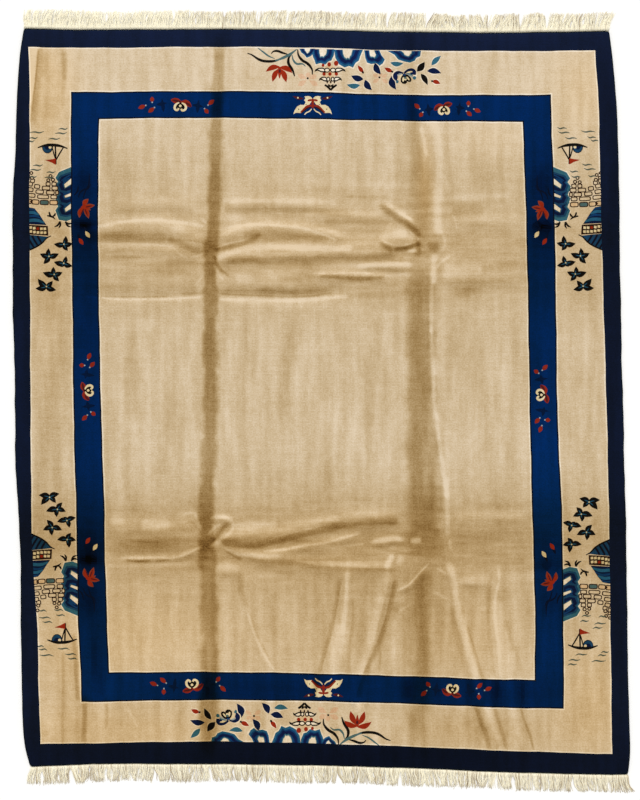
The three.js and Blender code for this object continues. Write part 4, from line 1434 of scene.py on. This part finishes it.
def buildPile(material):
    # face and back joined by a wall round the foot, then the dyes on its corners and, on its points, the wear
    # with painted highlight and shade
    large = {
        ground: [pair for pair in pairs if np.ptp(pair[1], 0).max() > pileNet["backDetail"]]
        for ground, pairs in ornaments.items()
    }
    (top, topFaces, upper), (under, underFaces, underRim) = pileNets(large)
    first = len(top)
    lower = first + underRim
    around = np.arange(len(outline))
    nextOne = (around + 1) % len(outline)
    wall = np.vstack(
        [
            np.column_stack([lower, lower[nextOne], upper[nextOne]]),
            np.column_stack([lower, upper[nextOne], upper]),
        ]
    )
    points = np.vstack([toFrame(top, pileHeight(top)), toFrame(under, np.zeros(len(under)))])
    faces = np.vstack([topFaces, wall, first + underFaces[:, ::-1]])
    piece = newMesh("pile_cloth", points, faces.tolist(), material)
    piece.data.set_sharp_from_angle(angle=np.radians(pileNet["crisp"]))

    above, below = top[topFaces].mean(1), under[underFaces].mean(1)
    rimDye = np.full(len(wall), dyeNumber["navy"])
    dyed = np.concatenate([dyeOf(above, ornaments, 1), rimDye, dyeOf(below, large, 0)])
    middles = np.vstack([above, above[: len(wall)], below])
    colours = np.array([linear(colour) for colour in dyes.values()])[dyed]
    for ground, dyeLotsAndShade in abrashAndFoldShade.items():
        here = dyed == dyeNumber[ground]
        colours[here, :3] *= 1 + softPatches(middles[here], dyeLotsAndShade)[:, None]
    addValues(piece, "dye", np.repeat(colours, 3, axis=0), "FLOAT_COLOR", "CORNER", "color")
    addValues(piece, "tone", np.concatenate([pileTone(top), np.full(len(under), pileNet["backTone"])]))
    everywhere = np.vstack([top, under])
    addValues(piece, "age", np.clip(softPatches(everywhere, yellowing), 0, 1.3))
    addValues(piece, "combed", np.clip(softPatches(everywhere, combed), 0, 1))
    corners = bakeCorners(top, topFaces, under, underFaces, around)
    piece.data.uv_layers.new(name="OFBake").data.foreach_set("uv", corners.astype(np.float32).ravel())
    print("pile:", len(topFaces), "triangles above,", len(underFaces), "below,", len(faces), "in all")
    return piece


# sizes across and along in metres: tufts about 6 mm, mottling about 130 and 27 mm, hairlines of single wefts,
# and the brushed nap, as streaks about 40 mm wide along the warp or as blots where the folds have combed it
# crosswise
woolNoises = rows(("across", "along", "detail", "strength"), [
    (0.006, 0.006, 2.0, 0.4),
    (0.11, 0.16, 3.0, 0.17),
    (0.024, 0.03, 2.0, 0.18),
    (0.3, 0.006, 1.0, 0.1),
    (0.04, 0.36, 2.0, 0.4),
    (0.15, 0.028, 2.0, 0.4),
])
wool = {
    "sockets": {"Roughness": 0.92, "Specular IOR Level": 0.03, "Sheen Weight": 0.03, "Sheen Roughness": 0.45},
    "shadeAndWearStops": (0.3, 0.465, 0.645, 0.8), "greenFall": 1.33, "blueFall": 2.1, "darkest": (0.1, 0.047, 0.008, 1),
    "clean": (1, 1, 1, 1), "yellowed": (1, 0.92, 0.78, 1), "bump": (("Strength", 0.5), ("Distance", 0.002)),
}


def woolPile():
    # knotted and clipped wool: matt, faintly silky, mottled by the lay of the tufts and streaked along the
    # warp; a mix node's sockets 2 and 3 are its numbers, and 6 and 7 its colours
    material, tree, shader = newMaterial("knotted wool pile", wool["sockets"])
    place = addNode(tree, "ShaderNodeTexCoord").outputs["Object"]
    noises = []
    for noise in woolNoises:
        scale = (1 / noise["across"], 1 / noise["along"], 1.0)
        stretched = addNode(tree, "ShaderNodeMapping", [("Vector", place), ("Scale", scale)])
        noises.append(noiseOf(tree, stretched.outputs["Vector"], 1.0, noise["detail"]))
    *even, along, across = noises
    links = [("Factor", valuesOf(tree, "combed")), (2, along), (3, across)]
    brushed = addNode(tree, "ShaderNodeMix", links, data_type="FLOAT").outputs[0]
    # tone: wear of the pile with painted highlight and shade along the folds, and painted light from the
    # slope
    shadeAndWear = valuesOf(tree, "tone")
    for mottle, noise in zip([*even, brushed], woolNoises):
        shadeAndWear = mathOf(tree, "MULTIPLY_ADD", mathOf(tree, "SUBTRACT", mottle, 0.5), noise["strength"], shadeAndWear)

    # lower tone, from painted shade and brushed-down pile, is darker and browner: green falls faster than
    # red, and blue fastest
    ramp = addNode(tree, "ShaderNodeValToRGB", [("Fac", shadeAndWear)])
    for stop in wool["shadeAndWearStops"]:
        element = ramp.color_ramp.elements.new(stop)
        element.color = (stop, stop ** wool["greenFall"], stop ** wool["blueFall"], 1)
    ramp.color_ramp.elements[0].position = wool["darkest"][0]
    ramp.color_ramp.elements[0].color = wool["darkest"]
    ramp.color_ramp.elements[-1].color = wool["clean"]
    links = [("Factor", valuesOf(tree, "age")), (6, wool["clean"]), (7, wool["yellowed"])]
    yellow = addNode(tree, "ShaderNodeMix", links, data_type="RGBA").outputs[2]
    colour = valuesOf(tree, "dye", "Color")
    for tint in (ramp.outputs["Color"], yellow):
        links = [("Factor", 1.0), (6, colour), (7, tint)]
        colour = addNode(tree, "ShaderNodeMix", links, data_type="RGBA", blend_type="MULTIPLY").outputs[2]
    tree.links.new(colour, shader.inputs["Base Color"])
    tufts = addNode(tree, "ShaderNodeBump", [("Height", noises[0]), *wool["bump"]])
    tree.links.new(tufts.outputs["Normal"], shader.inputs["Normal"])
    return material


# The fringes: a flat-woven web and kinked cotton yarns in the locks of the solids
fringeEnds = rows(
    ("name", "node", "edge", "outward", "web", "lockLength",
     "lean", "loose", "pale", "brown", "stray", "seed"),
    [
        ("fringe_far", "fringe_far_end", "far", 1, 18, 60, 16, 5, 0.4, 0.6, 0, 11),
        ("fringe_near", "fringe_near_end", "near", -1, 10, 64, 5, 9, 0.2, 0.2, 34, 23),
    ],
)
yarn = {
    "locks": 150, "perLock": 11, "radius": 1.15, "thickness": (0.8, 1.2), "stations": 9,
    "heap": 3.4,  # height to which the yarns of a lock lie on one another
    "rootOut": 2, "rootSpread": 0.98,  # shares of a lock's pitch
    "tipSpread": 0.9, "length": (0.55, 0.88, 1.06),  # shares of the lock's: shortest, usual and longest
    "uneven": (0.06, 0.06, 0.05),  # from lock to lock, over several locks, and from yarn to yarn
    "slowLean": (9, 300),  # lean and wave length
    "looseWave": 95,
    "rightCorner": (26, 60),  # lean and reach: the last locks fall outward at the right corner
    "strayReach": 14,
    "gap": (15, 30),  # lean and reach: locks on both sides of a bare place draw away from it
    "lockSpread": 3.2, "yarnSpread": 3.4, "tails": 2.5,  # the lower, the farther a few yarns stray
    "most": 5, "lockTurns": (0.6, 1.3), "lockKink": (1.4, 4.4), "yarnTurns": (1.4, 2.6),
    "yarnKink": (0.3, 1.1),
    "leanShares": (0.6, 0.4),  # of every lock, and uneven over several locks
    "sweep": 1.5, "kinkGrowth": 2.5, "heapPace": 1.05,  # over the length from root to tip
    "tip": (0.45, 2.2),  # share of the radius, and how fast it grows from there
    # shade: painted shade, darker for the lower yarns under the upper ones
    "shade": (0.1, 0.7, 0.34),  # of the lowest yarn, added to the highest, and from yarn to yarn
}
web = {"parting": 0.3, "edge": 2.6, "thick": 3, "end": 2, "tint": 0.9, "sunk": 0.4, "leaving": 1.6}
# bare places between bunches, as pixels across the photo
fringeGaps = {
    "far": (258, 387, 426, 490, 521, 549),
    "near": (41, 71, 88, 155, 211, 337, 401, 498, 512, 532, 540, 573),
}
# painted light: the far end's yarns made paler towards the left
paintedLightFarLeft = {"from": 200, "over": 240, "tint": 1.3}  # the far end's left, by the pixel where it starts


def lockWander(i):
    # slow unevenness over several locks: two sines, as in the solids
    return 0.6 * np.sin(0.21 * i) + 0.4 * np.sin(0.083 * i + 1.3)


def lockShare(i):
    # each lock's own share from 0 to 1: the fraction of a large sine, as in the solids
    return np.mod(np.sin(12.9898 * i) * 43758.5453, 1)


def layYarns(end, draw):
    # paths from the web to each lock's tip, which lean as the lock does, kink as sines, heap up and rest on
    # the floor
    edge = edgePoints[end["edge"]]
    locks = yarn["locks"]
    lock = np.repeat(np.arange(locks), yarn["perLock"])
    count = len(lock)
    slot = (np.tile(np.arange(yarn["perLock"]), locks) + 0.5) / yarn["perLock"] - 0.5
    pitch = (edge[-1, 0] - edge[0, 0]) / locks
    centre = edge[0, 0] + (lock + 0.5) * pitch
    rootX = centre + slot * pitch * yarn["rootSpread"]
    rootY = np.interp(rootX, edge[:, 0], edge[:, 1]) + end["outward"] * yarn["rootOut"]

    shortest, usual, longest = yarn["length"]
    own, slow, single = yarn["uneven"]
    share = usual + own * lockShare(lock) + slow * lockWander(lock) + draw.normal(0, single, count)
    length = end["lockLength"] * share
    length = np.clip(length, shortest * end["lockLength"], longest * end["lockLength"]) + end["web"]

    slowLean, slowWave = yarn["slowLean"]
    every, several = yarn["leanShares"]
    lean = end["lean"] * (every + several * lockWander(lock))
    lean = lean + slowLean * wander(centre, slowWave, end["seed"])
    lean = lean + end["loose"] * wander(centre, yarn["looseWave"], 2)
    cornerLean, cornerReach = yarn["rightCorner"]
    lean = lean + cornerLean * np.exp((centre - edge[-1, 0]) / cornerReach)
    lean = lean - end["stray"] * np.exp((edge[0, 0] - centre) / yarn["strayReach"])
    gapLean, gapReach = yarn["gap"]
    for pixel in fringeGaps[end["edge"]]:
        away = centre - onPlan((pixel, 0))[0]
        lean = lean + gapLean * np.sign(away) * np.exp(-((away / gapReach) ** 2))
    lockLean = draw.normal(0, yarn["lockSpread"], locks)[lock]
    strayed = yarn["yarnSpread"] * np.clip(draw.standard_t(yarn["tails"], count), -yarn["most"], yarn["most"])
    tipX = centre + slot * pitch * yarn["tipSpread"] + lean + lockLean + strayed

    t = np.linspace(0, 1, yarn["stations"])[None, :]
    spans = yarn["lockTurns"], (0, 1), yarn["lockKink"]
    turns, phase, bend = (draw.uniform(*span, locks)[lock][:, None] for span in spans)
    kink = bend * np.sin(2 * np.pi * (t * turns + phase))
    spans = yarn["yarnKink"], yarn["yarnTurns"], (0, 1)
    bend, turns, phase = (draw.uniform(*span, count)[:, None] for span in spans)
    kink = kink + bend * np.sin(2 * np.pi * (t * turns + phase))
    kink = kink * np.minimum(1, yarn["kinkGrowth"] * t)
    x = rootX[:, None] + (tipX - rootX)[:, None] * t ** yarn["sweep"] + kink
    y = rootY[:, None] + end["outward"] * length[:, None] * t
    tipShare, tipGrowth = yarn["tip"]
    tapered = np.minimum(1, tipShare + tipGrowth * (1 - t))
    radius = yarn["radius"] * draw.uniform(*yarn["thickness"], count)[:, None] * tapered
    depth = draw.uniform(0, 1, count)
    layer = yarn["heap"] * depth[:, None] * np.sin(np.pi * np.clip(t * yarn["heapPace"], 0, 1))
    overWeb = np.clip(web["leaving"] - length[:, None] * t / end["web"], 0, 1)
    z = radius + layer + (web["thick"] - web["sunk"]) * overWeb

    # lower yarns are painted darker, as shade under the upper ones, and all of them brown towards their tips
    lowest, added, uneven = yarn["shade"]
    shade = lowest + added * depth + draw.normal(0, uneven, count)
    tint = shade[:, None] + end["brown"] * (0.5 - t) + end["pale"]
    fromLeft = np.clip((onPlan((paintedLightFarLeft["from"], 0))[0] - centre) / paintedLightFarLeft["over"], 0, 1)
    tint = tint + (paintedLightFarLeft["tint"] * fromLeft * (end["edge"] == "far"))[:, None]
    return np.stack([x, y, z], -1), radius, tint


def squareTubes(path, radius):
    # four corners round each station of each path, to either hand and above and below it, and their faces
    # with caps
    ahead = np.gradient(path, axis=1)
    ahead /= np.linalg.norm(ahead, axis=-1, keepdims=True)
    side = np.cross(ahead, [0, 0, 1])
    side /= np.linalg.norm(side, axis=-1, keepdims=True)
    lift = np.cross(side, ahead)
    corners = [(1, 0), (0, 1), (-1, 0), (0, -1)]
    tube = np.stack([path + radius[..., None] * (a * side + b * lift) for a, b in corners], 2)
    index = np.arange(tube.size // 3).reshape(tube.shape[:3])
    beside = np.roll(index, -1, 2)
    quads = np.stack([index[:, :-1], beside[:, :-1], beside[:, 1:], index[:, 1:]], -1).reshape(-1, 4)
    return tube, np.vstack([quads, index[:, 0, ::-1], index[:, -1]])


def flatWeb(end, first):
    # one flat profile carried along the edge, with its faces counted from the first point, and its two closed
    # ends
    edge = edgePoints[end["edge"]]
    inner, middle, outer = web["parting"], end["web"] * 0.5, end["web"]
    profile = ((inner, 0), (inner, web["edge"]), (middle, web["thick"]), (outer, web["end"]), (outer, 0))
    strip = np.stack(
        [
            np.stack([edge[:, 0], edge[:, 1] + end["outward"] * out, np.full(len(edge), high)], -1)
            for out, high in profile
        ],
        1,
    )
    index = first + np.arange(strip.size // 3).reshape(strip.shape[:2])
    beside = np.roll(index, -1, 1)
    quads = np.stack([index[:-1], beside[:-1], beside[1:], index[1:]], -1).reshape(-1, 4)
    return strip, quads, np.vstack([index[0, ::-1], index[-1]])


def buildFringe(end, material):
    # yarns and web as one piece, each yarn with its own tint and painted shade
    path, radius, tint = layYarns(end, np.random.default_rng(end["seed"]))
    tube, tubeFaces = squareTubes(path, radius)
    strip, webFaces, webEnds = flatWeb(end, tube.size // 3)
    points = np.vstack([tube.reshape(-1, 3), strip.reshape(-1, 3)])
    faces = np.vstack([tubeFaces, webFaces]).tolist() + webEnds.tolist()
    piece = newMesh(end["name"], toFrame(points[:, :2], points[:, 2]), faces, material)
    tints = np.repeat(tint.ravel(), tube.shape[2])
    addValues(piece, "yarnTintAndShade", np.concatenate([tints, np.full(strip.size // 3, web["tint"])]))
    return piece


cottonLook = {
    "sockets": {"Roughness": 0.88, "Specular IOR Level": 0.15}, "dark": (0.1, "#ad966e"),
    "light": (0.7, "#fff8e0"), "soil": 0.06, "ply": 0.0015, "bump": (("Strength", 0.4), ("Distance", 0.0006)),
}


def warpCotton():
    # undyed plied cotton, washed and a little yellowed: matt, each yarn its own tint and painted shade
    material, tree, shader = newMaterial("undyed cotton warp", cottonLook["sockets"])
    place = addNode(tree, "ShaderNodeTexCoord").outputs["Object"]
    soil = noiseOf(tree, place, 1 / cottonLook["soil"], 2.0)
    both = mathOf(tree, "MULTIPLY", mathOf(tree, "ADD", valuesOf(tree, "yarnTintAndShade"), soil), 0.5)
    ramp = addNode(tree, "ShaderNodeValToRGB", [("Fac", both)])
    shades = cottonLook["dark"], cottonLook["light"]
    for element, (position, colour) in zip(ramp.color_ramp.elements, shades):
        element.position = position
        element.color = linear(colour)
    tree.links.new(ramp.outputs["Color"], shader.inputs["Base Color"])
    ply = noiseOf(tree, place, 1 / cottonLook["ply"], 1.0)
    bump = addNode(tree, "ShaderNodeBump", [("Height", ply), *cottonLook["bump"]])
    tree.links.new(bump.outputs["Normal"], shader.inputs["Normal"])
    return material


pileCloth = buildPile(woolPile())
cotton = warpCotton()
for end in fringeEnds:
    piece = buildFringe(end, cotton)
    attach(piece, "root")
    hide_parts(end["node"])

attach(pileCloth, "root")
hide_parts("pile")

# Stage: a pale floor, even light from all round and a soft sun from the far end
stage = {
    "floorSide": 30.0, "floorDrop": 0.0006, "floorColour": "#fbfaf8", "skyColour": (1, 1, 1, 1), "sky": 0.73,
    "sun": 1.65, "sunHeight": 42, "sunSoftness": 30,
}


def buildStage():
    # one large square just under the rug, a white world and one lamp
    side = stage["floorSide"] / 2
    corners = np.array([(-side, -side, 0), (side, -side, 0), (side, side, 0), (-side, side, 0)])
    sockets = {"Base Color": linear(stage["floorColour"]), "Roughness": 1.0, "Specular IOR Level": 0.0}
    material = newMaterial("matt studio paper", sockets)[0]
    floor = newMesh("floor", corners - [0, 0, stage["floorDrop"]], [[0, 1, 2, 3]], material)

    world = bpy.data.worlds.new("studio")
    world.use_nodes = True
    sky = world.node_tree.nodes["Background"]
    sky.inputs["Color"].default_value = stage["skyColour"]
    sky.inputs["Strength"].default_value = stage["sky"]
    bpy.context.scene.world = world

    sun = bpy.data.lights.new("window light", "SUN")
    sun.energy = stage["sun"]
    sun.angle = np.radians(stage["sunSoftness"])
    lamp = bpy.data.objects.new("window light", sun)
    lamp.rotation_euler = (-np.radians(90 - stage["sunHeight"]), 0, 0)
    bpy.context.collection.objects.link(lamp)


# Camera straight above the middle of the photo, far end at the top; the long side of the sensor is the
# frame's height
camera = {"lens": 50.0, "sensor": 36.0, "farthest": 100}


def buildCamera():
    # as high as it takes for the photo's height on the floor to fill the sensor
    data = bpy.data.cameras.new("overhead")
    data.lens = camera["lens"]
    data.sensor_width = camera["sensor"]
    data.clip_end = camera["farthest"]
    frameHeight = photo["tall"] * photo["mmPerPixel"] / 1000
    eye = bpy.data.objects.new("overhead", data)
    height = frameHeight * camera["lens"] / camera["sensor"] + rugSize["thick"] / 1000
    eye.location = (planShift[0] / 1000, planShift[1] / 1000, height)
    bpy.context.collection.objects.link(eye)
    bpy.context.scene.camera = eye


buildStage()
buildCamera()
bpy.context.scene.view_settings.view_transform = "Standard"
print("stage: floor, light and camera")
